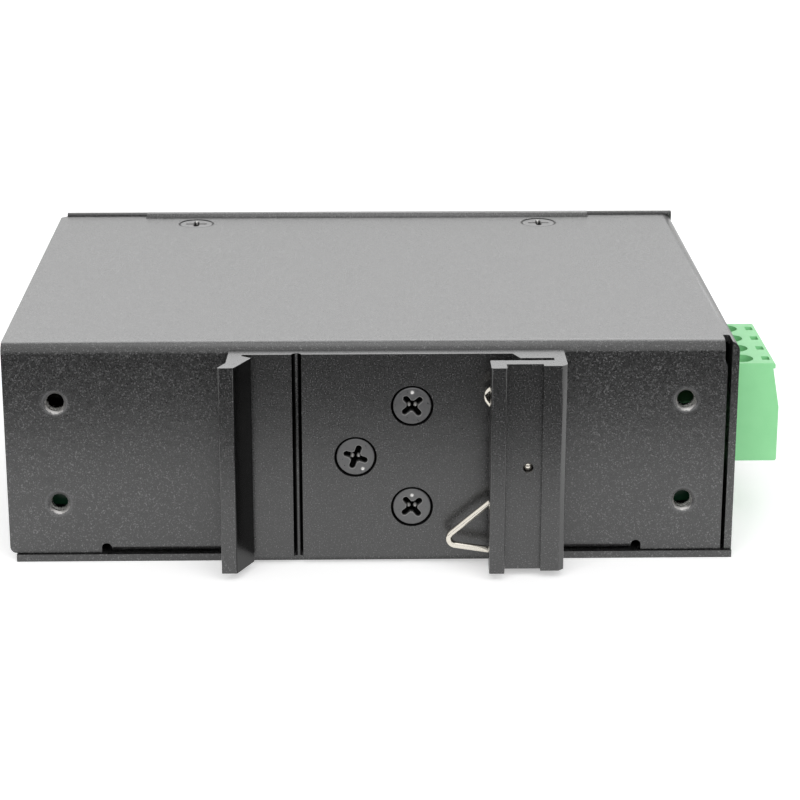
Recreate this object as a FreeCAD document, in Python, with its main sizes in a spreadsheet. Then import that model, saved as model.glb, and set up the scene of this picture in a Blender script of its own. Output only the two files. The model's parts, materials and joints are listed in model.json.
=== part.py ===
import FreeCAD, Part
import math
import os
import re
import Sketcher

# Power-over-network splitter for a 35 mm rail, lying on its large side.
# Millimetres. X runs along the housing, with the power terminal at +X.
# Y runs from the rail clip (-Y) to the network sockets (+Y). Z is up.
# The origin is the centre of the housing's underside.

doc = FreeCAD.newDocument("Splitter")
sheet = doc.addObject("Spreadsheet::Sheet", "Sizes")

SIZES = [
    # Folded housing
    ("length", 100.0), ("depth", 75.0), ("height", 31.2), ("gauge", 1.0), ("bend", 1.5),
    ("seam", 0.1), ("cover_inset", 0.9), ("cover_lip", 0.5), ("front_rise", 0.65), ("hem_gap", 0.6),
    ("end_rise", 0.45), ("edge_round", 0.4),
    ("hem_inner", 0.25), ("hem_clear", 0.3), ("hem_run", 4.0), ("flange_inset", 14.0), ("flange_depth", 7.0),
    ("flange_inner", 0.1), ("relief_wide", 1.35), ("relief_high", 1.35), ("relief_round", 0.62),
    ("corner_gap", 0.55), ("notch_wide", 0.95), ("notch_high", 3.6), ("cut_corner", 0.9),
    ("cover_screw_side", 22.3), ("cover_screw_inset", 3.6),
    # Countersunk screws and threaded holes
    ("thread_radius", 1.25), ("thread_gap", 0.05), ("bore_gap", 0.3), ("head_radius", 2.75),
    ("head_gap", 0.15), ("head_sunk", 0.05), ("sink_land", 0.1), ("screw_length", 5.0),
    ("recess_wide", 0.8), ("recess_long", 3.0), ("recess_deep", 1.1), ("bracket_inset", 7.0),
    ("bracket_rise", 14.5), ("burr_radius", 2.0), ("burr_length", 1.2), ("burr_chamfer", 0.5),
    # Rail clip
    ("clip_clear", 0.1), ("clip_drop", 1.0), ("clip_left", 19.2), ("clip_right", 26.0),
    ("plate", 2.1), ("clip_edge", 0.2), ("hook_reach", 8.2), ("hook_tip_reach", 3.6),
    ("hook_tip", 16.1), ("hook_slot", 17.5), ("hook_slot_reach", 2.6), ("hook_front", 20.5),
    ("hook_front_wide", 2.2), ("hook_knee", 5.8), ("hook_lean", 0.2), ("jaw_lip", 15.8),
    ("lip_wide", 2.1), ("lip_reach", 8.9), ("jaw_reach", 7.05), ("rib_reach", 7.9), ("rib_wide", 3.2),
    ("rib_chamfer", 0.7), ("mouth", 3.2), ("mouth_ramp", 0.9), ("slot_floor", 4.2), ("wire_gap", 0.15),
    ("slot_wall", 1.6), ("groove_place", -10.1), ("groove_radius", 0.65), ("clip_screw_right", 5.5),
    ("clip_screw_left", -2.2), ("clip_screw_rise", 14.5), ("clip_screw_turn", 40.0),
    # Wire spring and the pin that holds it
    ("pin_place", 21.0), ("pin_radius", 0.65), ("pin_gap", 0.05), ("pin_sunk", 0.25), ("pin_seat", 1.0),
    ("wire", 0.9), ("spring_lean", 9.0), ("low_tip_out", 7.7), ("low_tip_down", 12.2),
    ("high_tip_out", 6.0), ("high_tip_up", 8.6), ("tip_radius", 1.0), ("eye_gap", 0.07), ("leg_end", 0.9),
    # Circuit board
    ("board_top", 8.4), ("board", 1.6), ("board_left", 3.5), ("board_right", 3.2), ("board_rear", 4.0),
    ("board_front", 2.0), ("post_side", 9.0), ("post_rear", 8.5), ("post_front", 7.5),
    ("post_radius", 2.75), ("pan_radius", 2.8), ("pan_high", 1.9),
    # Network sockets
    ("socket_left", -24.0), ("socket_right", -3.0), ("shield_wide", 16.0), ("shield_high", 13.5),
    ("shield_long", 18.5), ("shield_wall", 0.3), ("shield_out", 0.4), ("panel_gap", 0.2),
    ("insert_gap", 0.05), ("plug_wide", 11.9), ("plug_high", 6.9), ("plug_deep", 14.0),
    ("plug_floor", 3.6), ("latch_wide", 6.4), ("latch_high", 1.5), ("keel_wide", 4.0), ("keel_high", 1.2),
    ("ways", 8.0), ("contact_pitch", 1.02), ("contact", 0.35), ("contact_drop", 1.8),
    ("contact_front", 3.0), ("contact_reach", 7.5),
    # Pluggable power terminal
    ("pitch", 5.08), ("poles", 4.0), ("terminal_place", 13.8), ("terminal_lift", 0.8),
    ("terminal_tall", 14.6), ("terminal_out", 8.2), ("knee_rise", 8.1), ("terminal_lean", 1.0),
    ("lip_out", 0.3), ("lip_high", 0.8), ("shoulder", 2.2), ("nose_long", 8.0), ("nose_lift", 1.6),
    ("nose_tall", 7.2), ("cutout_gap", 0.4), ("driver_place", 2.8), ("driver_radius", 1.85),
    ("probe_place", 6.4), ("probe_wide", 1.07), ("probe_long", 1.75), ("probe_deep", 3.0),
    ("chamber_long", 5.0), ("chamber_wide", 4.1), ("chamber_high", 10.6), ("chamber_floor", 0.6),
    ("entry_wide", 3.6), ("entry_lift", 1.2), ("entry_tall", 3.6), ("entry_chamfer", 0.4),
    ("mould_edge", 0.3), ("post_rise", 5.1), ("post_wide", 1.0), ("post_gap", 0.05), ("sleeve_wide", 2.4),
    ("sleeve_gap", 0.1), ("sleeve_inset", 0.6), ("sleeve_long", 7.0), ("channel_gap", 0.15),
    ("tongue_end", 4.6), ("cage_gap", 0.15), ("cage_wall", 0.6), ("cage_base", 0.7), ("cage_top", 1.6),
    ("cage_lift", 0.1), ("tip_gap", 0.05), ("clamp_head_radius", 1.65), ("clamp_head", 2.0),
    ("clamp_length", 4.55), ("clamp_slot", 0.6), ("header_wall", 1.2), ("header_back", 2.8),
    ("header_gap", 0.25), ("header_front", 0.3), ("post_run", 2.0), ("post_tail", 2.8), ("post_bore", 0.3),
    # Components on the board
    ("core_long", 16.0), ("core_wide", 14.0), ("core_thick", 6.0), ("core_leg", 4.0), ("core_limb", 2.6),
    ("core_lift", 3.0), ("bobbin_wall", 0.8), ("bobbin_gap", 0.15), ("transformer_x", 12.0),
    ("transformer_y", 2.0), ("can_radius", 5.0), ("can_high", 16.0), ("small_can_radius", 4.0),
    ("small_can_high", 13.0), ("can_edge", 0.6), ("input_can_x", -24.0), ("input_can_y", -14.0),
    ("output_can_x", 27.0), ("output_can_y", -19.0), ("output_can_step", 11.0), ("choke_radius", 6.0),
    ("choke_high", 9.0), ("choke_waist", 1.4), ("choke_flange", 1.5), ("coil_gap", 0.05),
    ("choke_x", -7.0), ("choke_y", -20.0), ("lamp_x", 14.0), ("lamp_radius", 1.5), ("lamp_round", 1.42),
    ("lamp_high", 6.5), ("lamp_gap", 0.15), ("lamp_out", 0.6), ("holder_wide", 5.0), ("holder_long", 5.5),
    ("holder_top", 9.5), ("network_x", -24.0), ("network_y", 9.0), ("network_long", 15.5),
    ("network_wide", 12.5), ("network_high", 5.9), ("controller_x", -6.0), ("controller_y", 4.0),
    ("controller_long", 6.0), ("controller_wide", 10.0), ("controller_high", 1.7), ("transistor_x", 6.0),
    ("transistor_y", -20.0), ("transistor_long", 6.6), ("transistor_wide", 9.0), ("transistor_high", 2.4),
    ("coupler_x", -2.0), ("coupler_y", 15.5), ("coupler_long", 6.5), ("coupler_wide", 4.6),
    ("coupler_high", 3.4), ("bridge_x", -40.0), ("bridge_y", -9.0), ("bridge_step", 13.0),
    ("bridge_long", 6.4), ("bridge_wide", 8.5), ("bridge_high", 2.7),
]

for row, (alias, number) in enumerate(SIZES, 1):
    sheet.set(f"A{row}", alias.replace("_", " "))
    sheet.set(f"B{row}", str(number))
    sheet.setAlias(f"B{row}", alias)
doc.recompute()

ALIASES = {alias for alias, number in SIZES}
PIECES = []
TOUCH = 1e-4

# Outer faces of the housing and the planes that several pieces share.
REAR = "(-depth / 2)"
FRONT = "(depth / 2)"
LEFT = "(-length / 2)"
RIGHT = "(length / 2)"
COVER_LEFT = f"({LEFT} + cover_inset)"
LEDGE = "(gauge + seam)"
HEM = "(2 * gauge + hem_gap)"
HEM_TOP = "(height + front_rise)"
END_TOP = "(height + end_rise)"
HEM_REAR = f"({FRONT} - {HEM})"
PLATE_FRONT = f"({FRONT} - gauge - seam)"
PLATE_CUT = f"({HEM_REAR} - hem_clear)"
TOP_SCREW_Y = f"({PLATE_CUT} - cover_screw_inset)"
LOW_SCREW_Y = f"({REAR} + bend + cover_screw_inset)"
MIDDLE = "(height / 2)"
CLIP_FACE = f"({REAR} - plate)"
CLIP_LOW = "(gauge + clip_clear)"
CLIP_TOP = "(height - clip_drop)"
SLOT_TOP = "(slot_floor + wire + wire_gap)"
SINK = "(gauge - sink_land)"
SUNK_HOLE = f"(max(thread_radius; head_radius - 2 * {SINK}))"
FLANGE_HALF = f"({RIGHT} - flange_inset)"
SHANK = "(thread_radius - thread_gap)"
CLEAR_BORE = "(thread_radius + bore_gap)"
BOARD_LOW = "(board_top - board)"
TERMINAL_LOW = "(board_top + terminal_lift)"
TERMINAL_TOP = f"({TERMINAL_LOW} + terminal_tall)"
NOSE_LOW = "(board_top + nose_lift)"
NOSE_TOP = f"({NOSE_LOW} + nose_tall)"
POST_HEIGHT = "(board_top + post_rise)"
ENTRY_LOW = f"({TERMINAL_LOW} + entry_lift)"
ENTRY_TOP = f"({ENTRY_LOW} + entry_tall)"
PLUG_NEAR = f"({REAR} + terminal_place)"
PLUG_LONG = "(pitch * poles)"
PLUG_FACE = f"({RIGHT} + terminal_out)"
SHOULDER = f"({RIGHT} - shoulder)"
NOSE_TIP = f"({SHOULDER} - nose_long)"
DRIVER_X = f"({RIGHT} + driver_place)"
HEADER_FRONT = f"({SHOULDER} - header_front)"
HEADER_CAVITY = f"({NOSE_TIP} - header_front)"
SOCKET_FRONT = f"({FRONT} + shield_out)"
POST_X = f"({HEADER_CAVITY} - header_back - post_run)"
CHAMBER_REAR = f"({DRIVER_X} - chamber_long / 2)"
CHAMBER_FRONT = f"({DRIVER_X} + chamber_long / 2)"
CHAMBER_LOW = f"({TERMINAL_LOW} + chamber_floor)"
CHAMBER_TOP = f"({CHAMBER_LOW} + chamber_high)"
TONGUE_TOP = f"({POST_HEIGHT} + sleeve_wide / 2)"
POLES = range(int(dict(SIZES)["poles"]))


def bound(text):
    """Write every named size in an expression as a reference to its cell."""
    def cell(word):
        return "Sizes." + word.group() if word.group() in ALIASES else word.group()
    return re.sub(r"[a-z_]+", cell, str(text))


def size(text):
    """The number that an expression has now."""
    return float(sheet.evalExpression(bound(text)))


def bind(item, field, text):
    item.setExpression(field, bound(text))


def rectangle(x_low, y_low, x_high, y_high):
    return [(x_low, y_low), (x_high, y_low), (x_high, y_high), (x_low, y_high)]


def square(x, y, half):
    return rectangle(f"{x} - {half}", f"{y} - {half}", f"{x} + {half}", f"{y} + {half}")


def circle(x, y, radius):
    return ("circle", x, y, radius)


class Outline:
    """Collects a sketch's lines, arcs and constraints, each tied to named sizes."""

    def __init__(self, sketch):
        self.sketch = sketch
        self.constraints = []
        self.expressions = []

    def measure(self, kind, targets, text):
        self.expressions.append((len(self.constraints), text))
        self.constraints.append(Sketcher.Constraint(kind, *targets, size(text)))

    def place(self, geometry, position, x, y):
        self.measure("DistanceX", (-1, 1, geometry, position), x)
        self.measure("DistanceY", (-1, 1, geometry, position), y)

    def relate(self, kind, *targets):
        self.constraints.append(Sketcher.Constraint(kind, *targets))

    def add_circle(self, x, y, radius):
        centre = FreeCAD.Vector(size(x), size(y), 0)
        shape = Part.Circle(centre, FreeCAD.Vector(0, 0, 1), size(radius))
        index = self.sketch.addGeometry(shape, False)
        self.place(index, 3, x, y)
        self.measure("Radius", (index,), radius)

    def add_polygon(self, points):
        """Closed outline. A point may carry a third value, the radius that rounds its corner."""
        count = len(points)
        corners = [FreeCAD.Vector(size(point[0]), size(point[1]), 0) for point in points]
        radii = [size(point[2]) if len(point) > 2 else 0.0 for point in points]
        arrive = [(corners[i] - corners[i - 1]).normalize() for i in range(count)]
        leave = [arrive[(i + 1) % count] for i in range(count)]
        turn = [arrive[i].getAngle(leave[i]) for i in range(count)]
        trim = [radii[i] * math.tan(turn[i] / 2) for i in range(count)]
        first = self.sketch.GeometryCount
        for i in range(count):
            after = (i + 1) % count
            start = corners[i] + leave[i] * trim[i]
            end = corners[after] - arrive[after] * trim[after]
            self.sketch.addGeometry(Part.LineSegment(start, end), False)
        for i in range(count):
            before = first + (i - 1) % count
            here = first + i
            if radii[i] == 0.0:
                self.relate("Coincident", before, 2, here, 1)
                self.place(here, 1, *points[i][:2])
                continue
            left_turn = arrive[i].cross(leave[i]).z > 0
            side = FreeCAD.Vector(-arrive[i].y, arrive[i].x, 0) * (1 if left_turn else -1)
            near = corners[i] - arrive[i] * trim[i]
            far = corners[i] + leave[i] * trim[i]
            centre = near + side * radii[i]
            begin, finish = (near, far) if left_turn else (far, near)
            angles = [math.atan2(p.y - centre.y, p.x - centre.x) for p in (begin, finish)]
            ring = Part.Circle(centre, FreeCAD.Vector(0, 0, 1), radii[i])
            arc = self.sketch.addGeometry(Part.ArcOfCircle(ring, *angles), False)
            corner = self.sketch.addGeometry(Part.Point(corners[i]), True)
            into, out = (1, 2) if left_turn else (2, 1)
            self.relate("Tangent", before, 2, arc, into)
            self.relate("Tangent", arc, out, here, 1)
            self.measure("Radius", (arc,), points[i][2])
            self.relate("PointOnObject", corner, 1, before)
            self.relate("PointOnObject", corner, 1, here)
            self.place(corner, 1, *points[i][:2])

    def close(self):
        self.sketch.addConstraint(self.constraints)
        for index, text in self.expressions:
            bind(self.sketch, f"Constraints[{index}]", text)


def new_body(label):
    body = doc.addObject("PartDesign::Body", label)
    body.Label = label
    PIECES.append(body)
    return body


def sketch_on(body, plane, place, loops):
    """A sketch parallel to one of the body's own planes, at a place along that plane's axis."""
    sketch = body.newObject("Sketcher::SketchObject", "Sketch")
    support = next(item for item in body.Origin.OriginFeatures if item.Role == plane)
    sketch.AttachmentSupport = [(support, "")]
    sketch.MapMode = "FlatFace"
    facing = "-" if plane == "XZ_Plane" else ""
    bind(sketch, "AttachmentOffset.Base.z", f"{facing}({place})")
    outline = Outline(sketch)
    for loop in loops:
        if loop[0] == "circle":
            outline.add_circle(*loop[1:])
        else:
            outline.add_polygon(loop)
    outline.close()
    return sketch


def pad(body, plane, low, high, *loops):
    start = high if plane == "XZ_Plane" else low
    feature = body.newObject("PartDesign::Pad", "Pad")
    feature.Profile = sketch_on(body, plane, start, loops)
    bind(feature, "Length", f"({high}) - ({low})")
    body.Tip = feature


def pocket(body, plane, low, high, *loops):
    doc.recompute()
    before = body.Shape.Volume
    start = low if plane == "XZ_Plane" else high
    feature = body.newObject("PartDesign::Pocket", "Pocket")
    feature.Profile = sketch_on(body, plane, start, loops)
    bind(feature, "Length", f"({high}) - ({low})")
    body.Tip = feature
    doc.recompute()
    if body.Shape.Volume >= before:
        raise RuntimeError(body.Label + ": a pocket cuts nothing")


def dress(body, kind, field, text, wanted):
    """Fillet or chamfer the edges that the test picks."""
    doc.recompute()
    base = body.Tip
    names = [f"Edge{n}" for n, edge in enumerate(base.Shape.Edges, 1) if wanted(edge)]
    if not names:
        raise RuntimeError(body.Label + ": no edge to dress")
    feature = body.newObject("PartDesign::" + kind, kind)
    feature.Base = (base, names)
    bind(feature, field, text)
    body.Tip = feature


def is_ring(edge, radius, axis, place):
    """True for a full circle of a radius that lies at a place along an axis."""
    if not isinstance(edge.Curve, Part.Circle) or not edge.isClosed():
        return False
    at = getattr(edge.Curve.Center, axis)
    return abs(edge.Curve.Radius - size(radius)) < TOUCH and abs(at - size(place)) < TOUCH


def on_corner(edge, first, first_place, second, second_place):
    """True for an edge square to two axes that lies at a place along each of them."""
    ends = edge.BoundBox
    places = ((first, size(first_place)), (second, size(second_place)))
    reach = [abs(getattr(ends, axis + side) - at) for axis, at in places for side in ("Min", "Max")]
    return max(reach) < TOUCH


def solid(kind, name, fields, x="0", y="0", z="0"):
    item = doc.addObject("Part::" + kind, name)
    for field, text in fields.items():
        bind(item, field, text)
    for axis, text in zip("xyz", (x, y, z)):
        bind(item, "Placement.Base." + axis, text)
    return item


def box(name, x_low, y_low, z_low, x_high, y_high, z_high):
    fields = {"Length": f"({x_high}) - ({x_low})", "Width": f"({y_high}) - ({y_low})",
              "Height": f"({z_high}) - ({z_low})"}
    return solid("Box", name, fields, x_low, y_low, z_low)


def cylinder(name, x, y, z_low, radius, high):
    return solid("Cylinder", name, {"Radius": radius, "Height": high}, x, y, z_low)


def fuse(name, parts):
    item = doc.addObject("Part::MultiFuse", name)
    item.Shapes = parts
    return item


def cut(name, base, tools):
    item = doc.addObject("Part::Cut", name)
    item.Base = base
    item.Tool = tools[0] if len(tools) == 1 else fuse(name + "Tools", tools)
    return item


def group(label, members):
    """Identical pieces that share one node."""
    item = doc.addObject("Part::Compound", label)
    item.Links = members
    item.Label = label
    PIECES.append(item)
    return item


def named(item, label):
    item.Label = label
    PIECES.append(item)
    return item


def bracket_places():
    """Centres of the four threaded holes in the rear panel."""
    return [(f"{x} * ({RIGHT} - bracket_inset)", f"{MIDDLE} + {z} * bracket_rise / 2")
            for x in (-1, 1) for z in (-1, 1)]


def clip_screw_places():
    """Centres of the three screws that hold the rail clip."""
    return [("clip_screw_right", f"{MIDDLE} + clip_screw_rise / 2"),
            ("clip_screw_right", f"{MIDDLE} - clip_screw_rise / 2"), ("clip_screw_left", MIDDLE)]


def cover_screw_places(y):
    return [(f"{side} * ({RIGHT} - cover_screw_side)", y) for side in (-1, 1)]


def burrs(body, low, high, places):
    """Threaded collars raised inside a panel, each with its hole."""
    end = f"{high} + burr_length"
    pad(body, "XZ_Plane", low, end, *[circle(x, z, "burr_radius") for x, z in places])
    pocket(body, "XZ_Plane", low, end, *[circle(x, z, "thread_radius") for x, z in places])


def housing_shell():
    """Upper folded sheet: top plate, rear panel and the end panel round the power terminal."""
    body = new_body("housing_shell")
    panel_end = f"({RIGHT} - gauge)"
    notch = f"({panel_end} - notch_wide)"
    tangent = f"({RIGHT} - bend)"
    inner = "bend - gauge"
    fold = [(REAR, LEDGE), (f"{REAR} + gauge", LEDGE), (f"{REAR} + gauge", "height - gauge", inner),
            (PLATE_CUT, "height - gauge"), (PLATE_CUT, "height"), (REAR, "height", "bend")]
    pad(body, "YZ_Plane", LEFT, tangent, fold)
    ears = [rectangle(LEFT, f"{PLATE_CUT} - gauge", f"-{FLANGE_HALF} - seam", PLATE_FRONT),
            rectangle(f"{FLANGE_HALF} + seam", f"{PLATE_CUT} - gauge", tangent, PLATE_FRONT)]
    pad(body, "XY_Plane", "height - gauge", "height", *ears)
    end_fold = [(RIGHT, LEDGE), (RIGHT, "height", "bend"), (notch, "height"), (notch, "height - gauge"),
                (panel_end, "height - gauge", inner), (panel_end, LEDGE)]
    pad(body, "XZ_Plane", REAR, PLATE_FRONT, end_fold)
    dress(body, "Fillet", "Radius", inner, lambda edge: on_corner(edge, "Y", PLATE_FRONT, "Z", LEDGE))
    edge_y = f"({REAR} + bend + flange_depth)"
    flange = [(edge_y, LEDGE), (edge_y, f"{LEDGE} + gauge"),
              (f"{REAR} + gauge", f"{LEDGE} + gauge", "flange_inner"),
              (f"{REAR} + gauge", f"{LEDGE} + 2 * bend"), (REAR, f"{LEDGE} + 2 * bend"),
              (REAR, LEDGE, "gauge + flange_inner")]
    pocket(body, "XZ_Plane", REAR, f"{REAR} + gauge",
           rectangle(f"-{FLANGE_HALF}", LEDGE, FLANGE_HALF, f"{LEDGE} + 2 * bend"))
    pad(body, "YZ_Plane", f"-{FLANGE_HALF}", FLANGE_HALF, flange)
    reliefs = [[(f"{side} * {FLANGE_HALF}", LEDGE), (f"{side} * ({FLANGE_HALF} + relief_wide)", LEDGE),
                (f"{side} * ({FLANGE_HALF} + relief_wide)", f"{LEDGE} + relief_high", "relief_round"),
                (f"{side} * {FLANGE_HALF}", f"{LEDGE} + relief_high", "relief_round")] for side in (-1, 1)]
    pocket(body, "XZ_Plane", REAR, f"{REAR} + gauge", *reliefs)
    gap_top = "(height - notch_high)"
    seam_edge = f"({panel_end} - corner_gap)"
    seam_slot = [(seam_edge, LEDGE), (panel_end, LEDGE), (panel_end, "height"), (notch, "height"),
                 (notch, f"{gap_top} + notch_wide"), (seam_edge, gap_top)]
    pocket(body, "XZ_Plane", REAR, f"{REAR} + 2 * bend", seam_slot)
    dress(body, "Fillet", "Radius", "cut_corner", lambda edge: on_corner(edge, "X", LEFT, "Z", LEDGE))
    dress(body, "Chamfer", "Size", "cut_corner", lambda edge: on_corner(edge, "X", LEFT, "Y", PLATE_FRONT))
    burrs(body, REAR, f"{REAR} + gauge", bracket_places() + clip_screw_places())
    outside = f"({RIGHT} - 2 * bracket_inset)"
    dress(body, "Chamfer", "Size", "burr_chamfer",
          lambda edge: is_ring(edge, "thread_radius", "y", REAR) and abs(edge.BoundBox.Center.x) > size(outside))
    wide = "(head_radius + head_gap)"
    pocket(body, "XY_Plane", "height - gauge", "height",
           *[circle(x, y, f"{wide} - {SINK}") for x, y in cover_screw_places(TOP_SCREW_Y)])
    dress(body, "Chamfer", "Size", SINK,
          lambda edge: is_ring(edge, f"{wide} - {SINK}", "z", "height"))
    pocket(body, "XY_Plane", LEDGE, f"{LEDGE} + gauge",
           *[circle(x, y, SUNK_HOLE) for x, y in cover_screw_places(LOW_SCREW_Y)])
    dress(body, "Chamfer", "Size", f"head_radius - {SUNK_HOLE} - {SINK}",
          lambda edge: is_ring(edge, SUNK_HOLE, "z", LEDGE))
    pocket(body, "YZ_Plane", panel_end, RIGHT,
           rectangle(f"{PLUG_NEAR} - cutout_gap", f"{TERMINAL_LOW} - cutout_gap",
                     f"{PLUG_NEAR} + {PLUG_LONG} + cutout_gap", f"{TERMINAL_TOP} + cutout_gap"))


def housing_cover():
    """Lower folded sheet: bottom plate, socket panel and the closed end panel."""
    body = new_body("housing_cover")
    tangent = f"({COVER_LEFT} + bend)"
    inner = "bend - gauge"
    lip = f"({REAR} - cover_lip)"
    fold = [(lip, "0"), (FRONT, "0", "bend"), (FRONT, END_TOP), (f"{FRONT} - gauge", END_TOP),
            (f"{FRONT} - gauge", "gauge", inner), (lip, "gauge")]
    pad(body, "YZ_Plane", tangent, RIGHT, fold)
    end_rear = f"({REAR} + gauge + seam)"
    end_front = f"({FRONT} - gauge - seam)"
    end_top = "(height - gauge - seam)"
    end_fold = [(COVER_LEFT, "0", "bend"), (f"{tangent} + gauge", "0"), (f"{tangent} + gauge", "gauge"),
                (f"{COVER_LEFT} + gauge", "gauge", inner), (f"{COVER_LEFT} + gauge", end_top),
                (COVER_LEFT, end_top)]
    pad(body, "XZ_Plane", end_rear, f"{FRONT} - bend", end_fold)
    dress(body, "Fillet", "Radius", inner, lambda edge: on_corner(edge, "Y", end_rear, "Z", end_top))
    pad(body, "XZ_Plane", f"{FRONT} - bend", end_front,
        rectangle(COVER_LEFT, "2 * bend", f"{COVER_LEFT} + gauge", end_top))
    pad(body, "XY_Plane", "0", "gauge", rectangle(COVER_LEFT, lip, f"{tangent} + gauge", end_rear))
    pad(body, "XZ_Plane", f"{FRONT} - gauge", FRONT,
        rectangle(COVER_LEFT, "2 * bend", f"{tangent} + gauge", END_TOP))
    dress(body, "Fillet", "Radius", "edge_round",
          lambda edge: any(on_corner(edge, "Y", y, "Z", END_TOP) for y in (FRONT, f"{FRONT} - gauge")))
    outer = "gauge + hem_inner"
    back = f"({HEM_REAR} - flange_depth)"
    hem = [(FRONT, "height - hem_run"), (FRONT, HEM_TOP, outer), (HEM_REAR, HEM_TOP, outer),
           (HEM_REAR, "height - gauge - seam", "hem_inner"), (back, "height - gauge - seam"),
           (back, "height - 2 * gauge - seam"),
           (f"{HEM_REAR} + gauge", "height - 2 * gauge - seam", outer),
           (f"{HEM_REAR} + gauge", f"{HEM_TOP} - gauge", "hem_inner"),
           (f"{FRONT} - gauge", f"{HEM_TOP} - gauge", "hem_inner"),
           (f"{FRONT} - gauge", "height - hem_run")]
    pocket(body, "XZ_Plane", f"{FRONT} - gauge", FRONT,
           rectangle(f"-{FLANGE_HALF}", "height - hem_run", FLANGE_HALF, HEM_TOP))
    pad(body, "YZ_Plane", f"-{FLANGE_HALF}", FLANGE_HALF, hem)
    pocket(body, "XY_Plane", "height - 2 * gauge - seam", "height - gauge - seam",
           *[circle(x, y, SUNK_HOLE) for x, y in cover_screw_places(TOP_SCREW_Y)])
    dress(body, "Chamfer", "Size", f"head_radius - {SUNK_HOLE} - {SINK}",
          lambda edge: is_ring(edge, SUNK_HOLE, "z", "height - gauge - seam"))
    wide = "(head_radius + head_gap)"
    pocket(body, "XY_Plane", "0", "gauge",
           *[circle(x, y, f"{wide} - {SINK}") for x, y in cover_screw_places(LOW_SCREW_Y)])
    dress(body, "Chamfer", "Size", SINK, lambda edge: is_ring(edge, f"{wide} - {SINK}", "z", "0"))
    half = "(shield_wide / 2 + panel_gap)"
    windows = [rectangle(f"{x} - {half}", "board_top - panel_gap", f"{x} + {half}",
                         "board_top + shield_high + panel_gap") for x in ("socket_left", "socket_right")]
    lamp = circle("lamp_x", "board_top + lamp_high", "lamp_radius + lamp_gap")
    pocket(body, "XZ_Plane", f"{FRONT} - gauge", FRONT, *windows, lamp)


def din_clip():
    """Extruded rail clip: fixed hook on the left, jaw with a spring slot on the right."""
    body = new_body("din_clip")
    slot_end = "(clip_right - slot_wall)"
    rib = "(clip_right - rib_wide)"
    lip = "(jaw_lip + lip_wide)"
    profile = [("-clip_left", "0"), ("clip_right", "0"),
               ("clip_right", "rib_reach - rib_chamfer", "clip_edge"),
               ("clip_right - rib_chamfer", "rib_reach", "clip_edge"), (rib, "rib_reach"),
               (rib, "jaw_reach"), (lip, "jaw_reach"), (lip, "lip_reach", "clip_edge"),
               ("jaw_lip", "lip_reach", "clip_edge"), ("jaw_lip", SLOT_TOP, "clip_edge"),
               (slot_end, SLOT_TOP), (slot_end, "slot_floor"),
               ("jaw_lip + mouth + mouth_ramp", "slot_floor", "clip_edge"), ("jaw_lip + mouth", "plate"),
               ("-hook_slot + hook_lean", "plate"), ("-hook_slot", "hook_slot_reach", "clip_edge"),
               ("-hook_tip", "hook_tip_reach", "clip_edge"),
               ("-hook_front + hook_front_wide", "hook_reach", "clip_edge"),
               ("-hook_front", "hook_reach", "clip_edge"),
               ("-clip_left - hook_lean", "hook_knee", "clip_edge")]
    outline = [(corner[0], f"{REAR} - ({corner[1]})", *corner[2:]) for corner in profile]
    pad(body, "XY_Plane", CLIP_LOW, CLIP_TOP, outline)
    pocket(body, "XY_Plane", CLIP_LOW, CLIP_TOP, circle("groove_place", CLIP_FACE, "groove_radius"))
    pocket(body, "XZ_Plane", CLIP_FACE, REAR, *[circle(x, z, CLEAR_BORE) for x, z in clip_screw_places()])
    dress(body, "Chamfer", "Size", f"head_radius + head_gap - {CLEAR_BORE}",
          lambda edge: is_ring(edge, CLEAR_BORE, "y", CLIP_FACE))
    pocket(body, "XZ_Plane", f"{REAR} - jaw_reach", f"{REAR} - slot_floor + pin_seat",
           circle("pin_place", MIDDLE, "pin_radius + pin_gap"))


def spring_pin():
    """Staked pin across the jaw's slot, a little below the jaw's face."""
    body = new_body("spring_pin")
    pad(body, "XZ_Plane", f"{REAR} - jaw_reach + pin_sunk", f"{REAR} - slot_floor + pin_seat",
        circle("pin_place", MIDDLE, "pin_radius"))


def spring_turns():
    """Centres, radii and legs of the bent wire in its own plane, with the pin at the origin."""
    eye = size("pin_radius + eye_gap + wire / 2")
    bend = size("tip_radius")
    low = FreeCAD.Vector(-size("low_tip_out"), -size("low_tip_down"), 0)
    high = FreeCAD.Vector(-size("high_tip_out"), size("high_tip_up"), 0)
    return eye, bend, low, high


def crossed_tangent(first, first_radius, second, second_radius):
    """Touching points of the line that passes two circles on opposite sides, right of the first."""
    gap = second - first
    swing = math.acos((first_radius + second_radius) / gap.Length)
    angle = math.atan2(gap.y, gap.x) - swing
    away = FreeCAD.Vector(math.cos(angle), math.sin(angle), 0)
    return first + away * first_radius, second - away * second_radius


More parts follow.
